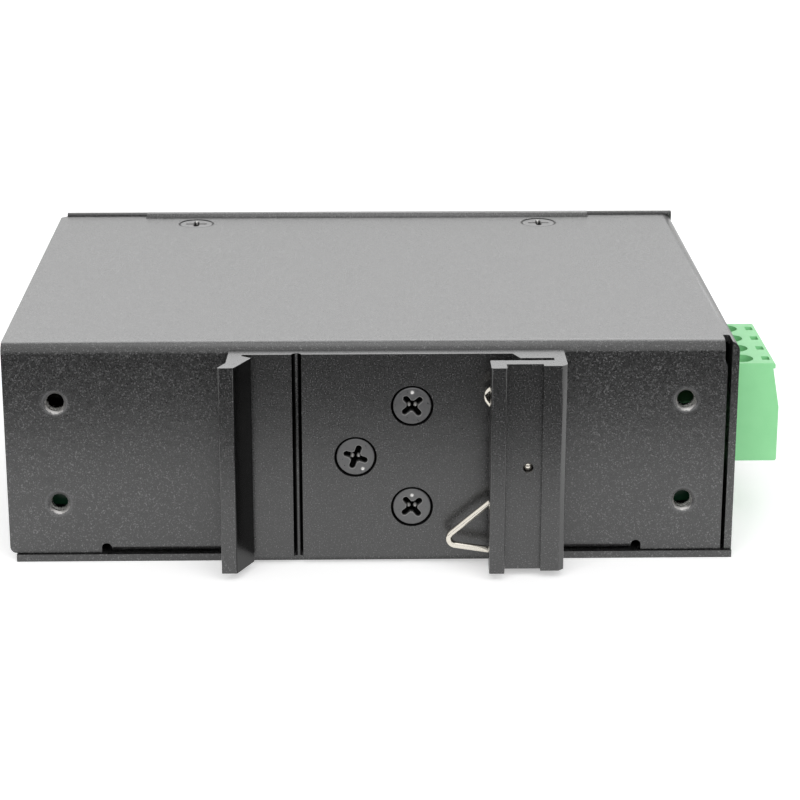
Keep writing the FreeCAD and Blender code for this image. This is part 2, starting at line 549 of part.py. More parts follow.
def clip_spring():
    """Wire spring: two loops that reach into the rail channel, bent round the pin between them."""
    body = new_body("clip_spring")
    eye, bend, low, high = spring_turns()
    pin = FreeCAD.Vector(0, 0, 0)
    up = FreeCAD.Vector(0, 1, 0)
    from_pin, to_high = crossed_tangent(pin, eye, high, bend)
    mirrored = FreeCAD.Vector(low.x, -low.y, 0)
    pin_low, low_in = [FreeCAD.Vector(p.x, -p.y, 0) for p in crossed_tangent(pin, eye, mirrored, bend)]
    end = size("leg_end")
    path = body.newObject("Sketcher::SketchObject", "Path")
    support = next(item for item in body.Origin.OriginFeatures if item.Role == "XZ_Plane")
    path.AttachmentSupport = [(support, "")]
    path.MapMode = "FlatFace"
    normal = FreeCAD.Vector(0, 0, 1)

    def arc(centre, radius, start, stop):
        angles = [math.atan2(p.y - centre.y, p.x - centre.x) for p in (start, stop)]
        return Part.ArcOfCircle(Part.Circle(centre, normal, radius), *angles)

    low_out = low - up * bend
    high_out = high + up * bend
    path.addGeometry([
        Part.LineSegment(FreeCAD.Vector(end, low_out.y, 0), low_out),
        arc(low, bend, low_in, low_out),
        Part.LineSegment(low_in, pin_low),
        arc(pin, eye, pin_low, from_pin),
        Part.LineSegment(from_pin, to_high),
        arc(high, bend, high_out, to_high),
        Part.LineSegment(high_out, FreeCAD.Vector(end, high_out.y, 0)),
    ], False)
    outline = Outline(path)
    outline.relate("Horizontal", 0)
    outline.relate("Tangent", 0, 2, 1, 2)
    outline.relate("Tangent", 1, 1, 2, 1)
    outline.relate("Tangent", 2, 2, 3, 1)
    outline.relate("Tangent", 3, 2, 4, 1)
    outline.relate("Tangent", 4, 2, 5, 2)
    outline.relate("Tangent", 5, 1, 6, 1)
    outline.relate("Horizontal", 6)
    outline.place(1, 3, "-low_tip_out", "-low_tip_down")
    outline.place(3, 3, "0", "0")
    outline.place(5, 3, "-high_tip_out", "high_tip_up")
    outline.measure("Radius", (1,), "tip_radius")
    outline.measure("Radius", (3,), "pin_radius + eye_gap + wire / 2")
    outline.measure("Radius", (5,), "tip_radius")
    outline.measure("DistanceX", (-1, 1, 0, 1), "leg_end")
    outline.measure("DistanceX", (-1, 1, 6, 2), "leg_end")
    outline.close()
    ring = circle("0", "-low_tip_down - tip_radius", "wire / 2")
    section = sketch_on(body, "YZ_Plane", "leg_end", [ring])
    doc.recompute()
    pipe = body.newObject("PartDesign::AdditivePipe", "Wire")
    pipe.Profile = section
    pipe.Spine = (path, [f"Edge{n}" for n in range(1, len(path.Shape.Edges) + 1)])
    body.Tip = pipe
    bind(body, "Placement.Base.x", "pin_place")
    bind(body, "Placement.Base.y", f"{REAR} - (slot_floor + {SLOT_TOP}) / 2")
    bind(body, "Placement.Base.z", MIDDLE)
    body.Placement.Rotation = FreeCAD.Rotation(FreeCAD.Vector(0, 1, 0), size("spring_lean"))


def revolve(body, points):
    """Turn an outline in the XZ plane about the body's own Z axis."""
    feature = body.newObject("PartDesign::Revolution", "Revolution")
    sketch = sketch_on(body, "XZ_Plane", "0", [points])
    feature.Profile = sketch
    feature.ReferenceAxis = (sketch, ["V_Axis"])
    feature.Angle = 360
    body.Tip = feature


def loose_body(name):
    """A body that becomes a member of a group of like pieces."""
    body = new_body(name)
    PIECES.remove(body)
    return body


def place(item, x, y, z, rotation=None):
    if rotation is not None:
        item.Placement.Rotation = rotation
    for axis, text in zip("xyz", (x, y, z)):
        bind(item, "Placement.Base." + axis, text)


def cross_recess(body, top):
    """Cross-shaped driver recess in a screw head whose top lies at a height."""
    arm = "(recess_long / 2)"
    rib = "(recess_wide / 2)"
    quarter = [(rib, arm), (rib, rib), (arm, rib), (arm, f"-{rib}")]
    points = quarter[:]
    for turn in range(3):
        quarter = [(y, f"-{x}") for x, y in quarter]
        points += quarter
    corners = [points[i] for i in (0, 1, 2, 3, 5, 6, 7, 9, 10, 11, 13, 14)]
    pocket(body, "XY_Plane", f"{top} - recess_deep", top, corners)


def countersunk_screw(name):
    """Countersunk screw, head up, with the middle of its head's face at the origin."""
    body = loose_body(name)
    revolve(body, [("0", "0"), ("head_radius", "0"), (SHANK, f"{SHANK} - head_radius"),
                   (SHANK, "-screw_length"), ("0", "-screw_length")])
    cross_recess(body, "0")
    return body


def housing_screws():
    down = FreeCAD.Rotation(FreeCAD.Vector(1, 0, 0), 180)
    members = []
    for number, (x, y) in enumerate(cover_screw_places(TOP_SCREW_Y), 1):
        screw = countersunk_screw(f"TopScrew{number}")
        place(screw, x, y, "height - head_sunk")
        members.append(screw)
    group("top_cover_screws", members)
    members = []
    for number, (x, y) in enumerate(cover_screw_places(LOW_SCREW_Y), 1):
        screw = countersunk_screw(f"LowScrew{number}")
        place(screw, x, y, "head_sunk", down)
        members.append(screw)
    group("bottom_cover_screws", members)


def clip_screws():
    outward = FreeCAD.Rotation(FreeCAD.Vector(1, 0, 0), 90)
    members = []
    turns = ("clip_screw_turn", "clip_screw_turn", "-clip_screw_turn / 2")
    for number, ((x, z), turn) in enumerate(zip(clip_screw_places(), turns), 1):
        screw = countersunk_screw(f"ClipScrew{number}")
        spin = FreeCAD.Rotation(FreeCAD.Vector(0, 0, 1), size(turn))
        place(screw, x, f"{CLIP_FACE} + head_sunk", z, outward.multiply(spin))
        members.append(screw)
    group("clip_screws", members)


def post_places():
    """Centres of the four posts that carry the board."""
    sides = (f"{LEFT} + post_side", f"{RIGHT} - post_side")
    return [(x, y) for x in sides for y in (f"{REAR} + post_rear", f"{FRONT} - post_front")]


def pole_centre(pole):
    return f"({PLUG_NEAR} + pitch * {pole + 0.5})"


def circuit_board():
    body = new_body("circuit_board")
    outline = rectangle(f"{LEFT} + board_left", f"{REAR} + board_rear", f"{RIGHT} - board_right",
                        f"{FRONT} - board_front")
    bores = [circle(x, y, CLEAR_BORE) for x, y in post_places()]
    bores += [circle(POST_X, pole_centre(pole), "post_wide / 2 + post_bore") for pole in POLES]
    pad(body, "XY_Plane", BOARD_LOW, "board_top", outline, *bores)


def board_mounting():
    """Six-sided threaded posts on the bottom plate and the pan-head screws in them."""
    posts = []
    screws = []
    for number, (x, y) in enumerate(post_places(), 1):
        fields = {"Circumradius": "post_radius", "Height": f"{BOARD_LOW} - gauge"}
        prism = solid("Prism", f"PostBlank{number}", fields, x, y, "gauge")
        prism.Polygon = 6
        bore = cylinder(f"PostBore{number}", x, y, "gauge", "thread_radius", f"{BOARD_LOW} - gauge")
        posts.append(cut(f"Post{number}", prism, [bore]))
        screw = loose_body(f"BoardScrew{number}")
        revolve(screw, [("0", "pan_high"), ("pan_radius", "pan_high"), ("pan_radius", "0"), (SHANK, "0"),
                        (SHANK, "-screw_length"), ("0", "-screw_length")])
        place(screw, x, y, "board_top")
        screws.append(screw)
    group("board_standoffs", posts)
    group("board_screws", screws)


def socket_cavity():
    """Stepped opening of a network socket: the plug, its latch and the latch's keel."""
    floor = "(board_top + plug_floor)"
    roof = f"({floor} + plug_high)"
    steps = [("plug_wide / 2", roof), ("plug_wide / 2", floor), ("latch_wide / 2", floor),
             ("latch_wide / 2", f"{floor} - latch_high"), ("keel_wide / 2", f"{floor} - latch_high"),
             ("keel_wide / 2", f"{floor} - latch_high - keel_high")]
    return [(f"-{x}", z) for x, z in steps] + [(x, z) for x, z in reversed(steps)]


def network_socket(name, centre):
    """Shielded socket on the board's front edge, with its moulded insert and contacts."""
    half = "(shield_wide / 2)"
    top = "(board_top + shield_high)"
    back = f"({SOCKET_FRONT} - shield_long)"
    shield = new_body(name + "_shield")
    pad(shield, "XZ_Plane", back, SOCKET_FRONT, rectangle(f"-{half}", "board_top", half, top))
    wall = "shield_wall"
    pocket(shield, "XZ_Plane", f"{back} + {wall}", SOCKET_FRONT,
           rectangle(f"{wall} - {half}", f"board_top + {wall}", f"{half} - {wall}", f"{top} - {wall}"))
    insert = new_body(name + "_insert")
    rim = "(shield_wall + insert_gap)"
    front = f"({SOCKET_FRONT} - {rim})"
    pad(insert, "XZ_Plane", f"{back} + {rim}", front,
        rectangle(f"{rim} - {half}", f"board_top + {rim}", f"{half} - {rim}", f"{top} - {rim}"))
    pocket(insert, "XZ_Plane", f"{SOCKET_FRONT} - plug_deep", front, socket_cavity())
    contacts = new_body(name + "_contacts")
    contacts.AllowCompound = True
    roof = "(board_top + plug_floor + plug_high - insert_gap)"
    rear = f"({SOCKET_FRONT} - plug_deep + insert_gap)"
    bow = f"({SOCKET_FRONT} - contact_front)"
    tail = f"({bow} - contact_reach)"
    strip = [(rear, roof), (bow, roof), (bow, f"{roof} - 2 * contact"),
             (tail, f"{roof} - contact_drop - contact"), (tail, f"{roof} - contact_drop"),
             (f"{bow} - 3 * contact", f"{roof} - contact"), (rear, f"{roof} - contact")]
    start = "((1 - ways) * contact_pitch / 2 - contact / 2)"
    pad(contacts, "YZ_Plane", start, f"{start} + contact", strip)
    row = contacts.newObject("PartDesign::LinearPattern", "Row")
    row.Originals = [contacts.Tip]
    axis = next(item for item in contacts.Origin.OriginFeatures if item.Role == "X_Axis")
    row.Direction = (axis, [""])
    bind(row, "Length", "(ways - 1) * contact_pitch")
    bind(row, "Occurrences", "ways")
    contacts.Tip = row
    for body in (shield, insert, contacts):
        place(body, centre, "0", "0")


def terminal_plug():
    """Moulded plug: nose in the header, driver and probe holes on top, wire entries on the end."""
    body = new_body("terminal_plug")
    far = f"({PLUG_NEAR} + {PLUG_LONG})"
    lip_low = f"({TERMINAL_TOP} - lip_high)"
    lean = f"({PLUG_FACE} - terminal_lean)"
    profile = [(NOSE_TIP, NOSE_LOW, "mould_edge"), (SHOULDER, NOSE_LOW), (SHOULDER, TERMINAL_LOW),
               (PLUG_FACE, TERMINAL_LOW, "mould_edge"),
               (PLUG_FACE, f"{TERMINAL_LOW} + knee_rise", "mould_edge"),
               (lean, lip_low), (f"{lean} + lip_out", lip_low),
               (f"{lean} + lip_out", TERMINAL_TOP, "mould_edge"), (SHOULDER, TERMINAL_TOP),
               (SHOULDER, NOSE_TOP), (NOSE_TIP, NOSE_TOP, "mould_edge")]
    pad(body, "XZ_Plane", PLUG_NEAR, far, profile)
    centres = [pole_centre(pole) for pole in POLES]
    drivers = [circle(DRIVER_X, y, "driver_radius") for y in centres]
    pocket(body, "XY_Plane", CHAMBER_TOP, TERMINAL_TOP, *drivers)
    probe = f"({RIGHT} + probe_place)"
    probes = [rectangle(f"{probe} - probe_wide / 2", f"{y} - probe_long / 2", f"{probe} + probe_wide / 2",
                        f"{y} + probe_long / 2") for y in centres]
    pocket(body, "XY_Plane", f"{TERMINAL_TOP} - probe_deep", TERMINAL_TOP, *probes)
    chambers = [rectangle(CHAMBER_REAR, f"{y} - chamber_wide / 2", CHAMBER_FRONT, f"{y} + chamber_wide / 2")
                for y in centres]
    pocket(body, "XY_Plane", CHAMBER_LOW, CHAMBER_TOP, *chambers)
    entries = [rectangle(f"{y} - entry_wide / 2", ENTRY_LOW, f"{y} + entry_wide / 2", ENTRY_TOP)
               for y in centres]
    pocket(body, "YZ_Plane", CHAMBER_FRONT, PLUG_FACE, *entries)
    half = "(sleeve_wide / 2 + channel_gap)"
    channels = [square(y, POST_HEIGHT, half) for y in centres]
    pocket(body, "YZ_Plane", NOSE_TIP, CHAMBER_REAR, *channels)
    dress(body, "Chamfer", "Size", "entry_chamfer", entry_edge)


def entry_edge(edge):
    """Edges of the wire entries on the plug's end face."""
    ends = edge.BoundBox
    on_face = abs(ends.XMin - size(PLUG_FACE)) < TOUCH and ends.XLength < TOUCH
    return on_face and ends.ZMin > size(ENTRY_LOW) - TOUCH and ends.ZMax < size(ENTRY_TOP) + TOUCH


def plug_contacts():
    """Socket sleeves in the plug's nose, each with a tongue that the wire is clamped against."""
    members = []
    for pole in POLES:
        y = pole_centre(pole)
        start = f"({NOSE_TIP} + sleeve_inset)"
        end = f"({start} + sleeve_long)"
        half = "(sleeve_wide / 2)"
        hole = "(post_wide / 2 + sleeve_gap)"
        sleeve = box(f"Sleeve{pole}", start, f"{y} - {half}", f"{POST_HEIGHT} - {half}",
                     end, f"{y} + {half}", TONGUE_TOP)
        bore = box(f"SleeveBore{pole}", start, f"{y} - {hole}", f"{POST_HEIGHT} - {hole}",
                   end, f"{y} + {hole}", f"{POST_HEIGHT} + {hole}")
        tongue = box(f"Tongue{pole}", end, f"{y} - {half}", f"{POST_HEIGHT} + {hole}",
                     f"{RIGHT} + tongue_end", f"{y} + {half}", TONGUE_TOP)
        members.append(fuse(f"Contact{pole}", [cut(f"SleeveTube{pole}", sleeve, [bore]), tongue]))
    group("plug_contacts", members)


def clamp_cages():
    """Rising cages that pull the wire up against the tongue."""
    for pole in POLES:
        y = pole_centre(pole)
        body = new_body(f"clamp_cage_{pole + 1}")
        half = "(chamber_wide / 2 - cage_gap)"
        floor = f"({CHAMBER_LOW} + cage_lift)"
        ceiling = f"({TONGUE_TOP} + cage_lift)"
        top = f"({ceiling} + cage_top)"
        outer = rectangle(f"{y} - {half}", floor, f"{y} + {half}", top)
        inside = f"max({half} - cage_wall; thread_radius + thread_gap)"
        window = rectangle(f"{y} - {inside}", f"{floor} + cage_base", f"{y} + {inside}", ceiling)
        pad(body, "YZ_Plane", f"{CHAMBER_REAR} + cage_gap", f"{CHAMBER_FRONT} - cage_gap", outer, window)
        pocket(body, "XY_Plane", ceiling, top, circle(DRIVER_X, y, "thread_radius"))


def clamp_screws():
    """Slotted screws that stand on the tongues and turn in the cages."""
    for pole in POLES:
        body = new_body(f"clamp_screw_{pole + 1}")
        top = "(clamp_length + clamp_head)"
        revolve(body, [("0", "0"), (SHANK, "0"), (SHANK, "clamp_length"),
                       ("clamp_head_radius", "clamp_length"), ("clamp_head_radius", top), ("0", top)])
        across = "2 * clamp_head_radius"
        pocket(body, "XY_Plane", f"{top} - clamp_head / 2", top,
               rectangle(f"-{across}", "-clamp_slot / 2", across, "clamp_slot / 2"))
        place(body, DRIVER_X, pole_centre(pole), f"{TONGUE_TOP} + tip_gap")


def terminal_header():
    """Header on the board: an open box for the plug's nose, with one bent post for each pole."""
    body = new_body("terminal_header")
    back = f"({HEADER_CAVITY} - header_back)"
    near = f"({PLUG_NEAR} - header_gap)"
    far = f"({PLUG_NEAR} + {PLUG_LONG} + header_gap)"
    top = f"({NOSE_TOP} + header_gap + header_wall)"
    pad(body, "XZ_Plane", f"{near} - header_wall", f"{far} + header_wall",
        [(back, "board_top"), (HEADER_FRONT, "board_top"), (HEADER_FRONT, top), (back, top, "mould_edge")])
    pocket(body, "YZ_Plane", HEADER_CAVITY, HEADER_FRONT,
           rectangle(near, f"{NOSE_LOW} - header_gap", far, f"{NOSE_TOP} + header_gap"))
    half = "(post_wide / 2 + post_gap)"
    holes = [square(pole_centre(pole), POST_HEIGHT, half) for pole in POLES]
    pocket(body, "YZ_Plane", back, HEADER_CAVITY, *holes)


def header_posts():
    members = []
    half = "(post_wide / 2)"
    for pole in POLES:
        body = loose_body(f"Post{pole}Bent")
        y = pole_centre(pole)
        foot = f"({BOARD_LOW} - post_tail)"
        outline = [(f"{POST_X} - {half}", foot), (f"{POST_X} + {half}", foot),
                   (f"{POST_X} + {half}", f"{POST_HEIGHT} - {half}"),
                   (f"{HEADER_FRONT} - header_wall", f"{POST_HEIGHT} - {half}"),
                   (f"{HEADER_FRONT} - header_wall", f"{POST_HEIGHT} + {half}"),
                   (f"{POST_X} - {half}", f"{POST_HEIGHT} + {half}", half)]
        pad(body, "XZ_Plane", f"{y} - {half}", f"{y} + {half}", outline)
        members.append(body)
    group("header_posts", members)


def transformer():
    """Converter transformer: ferrite frame with a centre leg through a wound bobbin."""
    x, y = "transformer_x", "transformer_y"
    low = "(board_top + core_lift)"
    high = f"({low} + core_thick)"
    leg = "(core_leg / 2)"
    limb = "(core_wide / 2 - core_limb)"
    reach = "(core_long / 2 - core_limb)"
    core = new_body("transformer_core")
    frame = rectangle("-core_wide / 2", "-core_long / 2", "core_wide / 2", "core_long / 2")
    windows = [rectangle(f"-{limb}", f"-{reach}", f"-{leg}", reach),
               rectangle(leg, f"-{reach}", limb, reach)]
    pad(core, "XY_Plane", low, high, frame, *windows)
    bobbin = new_body("transformer_bobbin")
    inner = rectangle(f"-{leg} - bobbin_gap", f"{low} - bobbin_gap",
                      f"{leg} + bobbin_gap", f"{high} + bobbin_gap")
    tube = "(bobbin_gap + bobbin_wall)"
    sleeve = rectangle(f"-{leg} - {tube}", f"{low} - {tube}", f"{leg} + {tube}", f"{high} + {tube}")
    flange = rectangle(f"bobbin_gap - {limb}", "board_top", f"{limb} - bobbin_gap", f"{high} + core_lift")
    end = f"({reach} - bobbin_gap)"
    pad(bobbin, "XZ_Plane", f"-{end}", end, sleeve, inner)
    for near, far in ((f"-{end}", f"bobbin_wall - {end}"), (f"{end} - bobbin_wall", end)):
        pad(bobbin, "XZ_Plane", near, far, flange, inner)
    winding = new_body("transformer_winding")
    wall = f"({tube} + bobbin_gap)"
    outer = f"({limb} - 2 * bobbin_gap)"
    rise = f"({outer} - {leg})"
    turns = [(f"-{outer}", f"{low} - {rise}", "mould_edge"), (outer, f"{low} - {rise}", "mould_edge"),
             (outer, f"{high} + {rise}", "mould_edge"), (f"-{outer}", f"{high} + {rise}", "mould_edge")]
    hollow = rectangle(f"-{leg} - {wall}", f"{low} - {wall}", f"{leg} + {wall}", f"{high} + {wall}")
    run = f"({end} - bobbin_wall - bobbin_gap)"
    pad(winding, "XZ_Plane", f"-{run}", run, turns, hollow)
    for body in (core, bobbin, winding):
        place(body, x, y, "0")


def can(name, radius, high):
    """Radial capacitor: a can with a rolled top edge."""
    body = loose_body(name)
    revolve(body, [("0", "0"), (radius, "0"), (radius, f"{high} - can_edge"),
                   (f"{radius} - can_edge", high), ("0", high)])
    return body


def capacitors():
    bulk = named(can("input_capacitor", "can_radius", "can_high"), "input_capacitor")
    place(bulk, "input_can_x", "input_can_y", "board_top")
    members = []
    for number in range(2):
        member = can(f"OutputCan{number}", "small_can_radius", "small_can_high")
        place(member, "output_can_x", f"output_can_y + {number} * output_can_step", "board_top")
        members.append(member)
    group("output_capacitors", members)


def filter_choke():
    """Drum choke: two flanges and the winding between them."""
    drum = new_body("choke_core")
    waist = "(choke_radius - choke_waist)"
    lower = "choke_flange"
    upper = "(choke_high - choke_flange)"
    core = f"({waist} - choke_waist)"
    revolve(drum, [("0", "0"), ("choke_radius", "0"), ("choke_radius", lower), (core, lower),
                   (core, upper), ("choke_radius", upper), ("choke_radius", "choke_high"),
                   ("0", "choke_high")])
    coil = new_body("choke_winding")
    inner = f"({core} + coil_gap)"
    revolve(coil, [(inner, f"{lower} + coil_gap"), (waist, f"{lower} + coil_gap"),
                   (waist, f"{upper} - coil_gap"), (inner, f"{upper} - coil_gap")])
    for body in (drum, coil):
        place(body, "choke_x", "choke_y", "board_top")


def package(name, kind, step="0"):
    """Moulded package with drafted upper sides, seated flat on the board."""
    body = loose_body(name)
    half = f"({kind}_long / 2)"
    high = f"{kind}_high"
    pad(body, "XZ_Plane", f"-{kind}_wide / 2", f"{kind}_wide / 2",
        [(f"-{half}", "0"), (half, "0"), (half, f"{high} / 2"), (f"{half} - can_edge", high),
         (f"can_edge - {half}", high), (f"-{half}", f"{high} / 2")])
    place(body, f"{kind}_x", f"{kind}_y + {step}", "board_top")
    return body


def packages():
    """Network transformer, controller, transistor, optocoupler and the two rectifier bridges."""
    named(package("network_transformer", "network"), "network_transformer")
    named(package("controller_chip", "controller"), "controller_chip")
    named(package("switching_transistor", "transistor"), "switching_transistor")
    named(package("optocoupler", "coupler"), "optocoupler")
    bridges = [package("BridgeRear", "bridge"), package("BridgeFront", "bridge", "bridge_step")]
    group("bridge_rectifiers", bridges)


def status_lamp():
    """Round lamp in a moulded holder, looking out through the socket panel."""
    front = f"({FRONT} - gauge - panel_gap)"
    centre = "(board_top + lamp_high)"
    holder = new_body("lamp_holder")
    pad(holder, "XZ_Plane", f"{front} - holder_long", front,
        rectangle("lamp_x - holder_wide / 2", "board_top",
                  "lamp_x + holder_wide / 2", "board_top + holder_top"))
    pocket(holder, "XZ_Plane", f"{front} - holder_long / 2", front,
           circle("lamp_x", centre, "lamp_radius + lamp_gap"))
    lamp = new_body("status_lamp")
    length = "(gauge + panel_gap + lamp_out + holder_long / 2 - lamp_gap)"
    revolve(lamp, [("0", "0"), ("lamp_radius", "0"), ("lamp_radius", length, "lamp_round"), ("0", length)])
    forward = FreeCAD.Rotation(FreeCAD.Vector(1, 0, 0), -90)
    place(lamp, "lamp_x", f"{FRONT} + lamp_out - {length}", centre, forward)


def finish():
    """Check every object and write each piece."""
    doc.recompute()
    for item in doc.Objects:
        if "Invalid" in item.State or "Error" in item.State:
            raise RuntimeError(f"{item.Label} failed: {item.State}")
    for piece in PIECES:
        if piece.Shape.isNull() or not piece.Shape.isValid():
            raise RuntimeError(f"{piece.Label} has no valid shape")
    os.makedirs("parts", exist_ok=True)
    for piece in PIECES:
        piece.Shape.exportStep(f"parts/{piece.Label}.step")


housing_shell()
housing_cover()
housing_screws()
din_clip()
clip_screws()
spring_pin()
clip_spring()
circuit_board()
board_mounting()
network_socket("power_socket", "socket_left")
network_socket("data_socket", "socket_right")
terminal_plug()
plug_contacts()
clamp_cages()
clamp_screws()
terminal_header()
header_posts()
transformer()
capacitors()
filter_choke()
packages()
status_lamp()
finish()
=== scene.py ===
"""Power-over-network splitter on a pale floor: finishes, screw heads, threads, studio and camera."""
import json
import math

import bpy
from mathutils import Matrix, Vector

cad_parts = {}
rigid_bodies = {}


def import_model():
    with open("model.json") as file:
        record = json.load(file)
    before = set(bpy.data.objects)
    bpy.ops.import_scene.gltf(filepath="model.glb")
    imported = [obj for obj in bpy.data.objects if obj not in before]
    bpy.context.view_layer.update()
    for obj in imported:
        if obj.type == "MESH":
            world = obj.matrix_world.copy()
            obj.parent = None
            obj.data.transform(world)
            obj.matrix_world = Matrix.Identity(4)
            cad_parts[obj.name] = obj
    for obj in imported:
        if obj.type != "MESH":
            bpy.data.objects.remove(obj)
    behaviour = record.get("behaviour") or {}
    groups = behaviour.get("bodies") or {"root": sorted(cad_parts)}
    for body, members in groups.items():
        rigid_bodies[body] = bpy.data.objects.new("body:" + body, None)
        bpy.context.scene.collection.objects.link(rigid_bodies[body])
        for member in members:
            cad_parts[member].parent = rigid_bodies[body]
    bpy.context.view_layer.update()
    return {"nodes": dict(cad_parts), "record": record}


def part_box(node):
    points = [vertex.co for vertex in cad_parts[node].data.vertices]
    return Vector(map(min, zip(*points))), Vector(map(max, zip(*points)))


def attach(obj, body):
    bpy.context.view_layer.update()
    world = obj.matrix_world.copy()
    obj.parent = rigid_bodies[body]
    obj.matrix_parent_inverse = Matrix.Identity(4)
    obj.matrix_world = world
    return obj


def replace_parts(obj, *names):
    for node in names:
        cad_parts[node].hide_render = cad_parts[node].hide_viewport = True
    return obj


for stray in list(bpy.data.objects):
    bpy.data.objects.remove(stray)
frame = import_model()
NODES = frame["nodes"]
RECORD = frame["record"]
ROOT = "splitter"
MM = 0.001
X, Y, Z = range(3)

# Decimals at which points count as one and solids as level with each other
POINT_DIGITS = 7
ROW_DIGITS = 4

# Places that the finishes and the added pieces share
SCREW_FACES = {
    "clip_screws": (0, -1, 0),
    "top_cover_screws": (0, 0, 1),
    "bottom_cover_screws": (0, 0, -1),
}
BRACKET = next(mount for mount in RECORD["mounts"] if mount["name"] == "bracket_holes")
BRACKET_RADIUS = BRACKET["dims"]["hole_r_mm"] * MM
BRACKET_STEP = Vector((BRACKET["dims"]["spacing_x_mm"], 0, BRACKET["dims"]["spacing_y_mm"])) * MM / 2
BRACKET_HOLES = [Vector(BRACKET["pos_m"]) + Vector((side * BRACKET_STEP.x, 0, level * BRACKET_STEP.z))
                 for side in (-1, 1) for level in (-1, 1)]
SINK_GAP = 0.12 * MM


def islands(name):
    """Lowest and highest corner of each separate solid in a node, from left to right."""
    mesh = NODES[name].data
    parent = {}

    def root(key):
        while parent[key] != key:
            parent[key] = parent[parent[key]]
            key = parent[key]
        return key

    keys = [tuple(round(value, POINT_DIGITS) for value in vertex.co) for vertex in mesh.vertices]
    for key in keys:
        parent.setdefault(key, key)
    for edge in mesh.edges:
        first, second = [root(keys[end]) for end in edge.vertices]
        parent[first] = second
    groups = {}
    for key in set(keys):
        groups.setdefault(root(key), []).append(key)
    boxes = []
    for points in groups.values():
        columns = list(zip(*points))
        boxes.append((Vector(map(min, columns)), Vector(map(max, columns))))
    return sorted(boxes, key=lambda box: (round(box[0].x, ROW_DIGITS), box[0].z))


def head_place(low, high, outward):
    """Centre of a screw head's face and its radius, from the corners of the screw."""
    along = max((X, Y, Z), key=lambda index: abs(outward[index]))
    centre = (low + high) / 2
    centre[along] = (high if outward[along] > 0 else low)[along]
    return centre, max((high - low)[index] for index in (X, Y, Z) if index != along) / 2


# The middle part of a noise texture's values, which the finishes spread over a range
NOISE_LOW = 0.3
NOISE_HIGH = 0.7

# Colour sockets of the Mix node, which share their names with its other sockets
MIX_FIRST = 6
MIX_SECOND = 7
MIX_RESULT = 2


class Finish:
    """A procedural material, with short calls for the nodes that the finishes share."""

    def __init__(self, name, **sockets):
        self.material = bpy.data.materials.new(name)
        self.material.use_nodes = True
        self.tree = self.material.node_tree
        self.shader = self.tree.nodes["Principled BSDF"]
        for socket, value in sockets.items():
            self.set(socket.replace("_", " "), value)
        self.place = self.node("ShaderNodeTexCoord").outputs["Object"]

    def set(self, socket, value):
        self.feed(self.shader.inputs[socket], value)

    def feed(self, socket, value):
        if isinstance(value, bpy.types.NodeSocket):
            self.tree.links.new(value, socket)
        else:
            socket.default_value = value

    def node(self, kind, inputs=None, **settings):
        made = self.tree.nodes.new(kind)
        for name, value in settings.items():
            setattr(made, name, value)
        for key, value in (inputs or {}).items():
            self.feed(made.inputs[key], value)
        return made

    def math(self, operation, first, second=0.0):
        return self.node("ShaderNodeMath", {0: first, 1: second}, operation=operation).outputs[0]

    def vector(self, operation, first, second):
        return self.node("ShaderNodeVectorMath", {0: first, 1: second}, operation=operation).outputs[0]

    def grain(self, size, stretch=(1.0, 1.0, 1.0), detail=3.0, rough=0.6):
        """Noise whose features are about the given size, drawn out along an axis by its stretch."""
        scale = [1 / (size * factor) for factor in stretch]
        spread = self.vector("MULTIPLY", self.place, scale)
        inputs = {"Vector": spread, "Scale": 1.0, "Detail": detail, "Roughness": rough}
        return self.node("ShaderNodeTexNoise", inputs).outputs[0]

    def span(self, value, low, high, start=0.0, end=1.0):
        """Map a value's range onto another, clamped."""
        inputs = {"Value": value, "From Min": low, "From Max": high, "To Min": start, "To Max": end}
        return self.node("ShaderNodeMapRange", inputs).outputs[0]

    def vary(self, noise, start=0.0, end=1.0):
        """Spread a noise over a range."""
        return self.span(noise, NOISE_LOW, NOISE_HIGH, start, end)

    def blend(self, factor, first, second):
        mix = self.node("ShaderNodeMix", data_type="RGBA")
        self.feed(mix.inputs["Factor"], factor)
        self.feed(mix.inputs[MIX_FIRST], first)
        self.feed(mix.inputs[MIX_SECOND], second)
        return mix.outputs[MIX_RESULT]

    def colour(self, factor, first, second):
        self.set("Base Color", self.blend(factor, (*first, 1.0), (*second, 1.0)))

    def relief(self, *layers, strength=1.0):
        """Bump from layers of (height, depth in metres), finest last."""
        normal = None
        for height, depth in layers:
            inputs = {"Height": height, "Distance": depth, "Strength": strength}
            if normal is not None:
                inputs["Normal"] = normal
            normal = self.node("ShaderNodeBump", inputs).outputs[0]
        self.set("Normal", normal)

    def along(self, axis):
        """How far the point lies along an axis from the frame's origin."""
        return self.node("ShaderNodeSeparateXYZ", {0: self.place}).outputs[axis]

    def facing(self, axis):
        """How far the surface faces along an axis, from -1 to 1."""
        normal = self.node("ShaderNodeTexCoord").outputs["Normal"]
        return self.node("ShaderNodeSeparateXYZ", {0: normal}).outputs[axis]

    def distance(self, centres, measured=(1, 1, 1)):
        """Distance from the nearest of some points, measured along the axes marked 1."""
        nearest = None
        for centre in centres:
            flat = self.vector("MULTIPLY", self.vector("SUBTRACT", self.place, centre), measured)
            length = self.node("ShaderNodeVectorMath", {0: flat}, operation="LENGTH").outputs["Value"]
            nearest = length if nearest is None else self.math("MINIMUM", nearest, length)
        return nearest

    def sinks(self, node):
        """1 on the walls of the countersinks that a node's screws sit in, where the finishes paint shade."""
        heads, radii = zip(*[head_place(low, high, SCREW_FACES[node]) for low, high in islands(node)])
        return self.math("LESS_THAN", self.distance(heads), max(radii) + SINK_GAP)


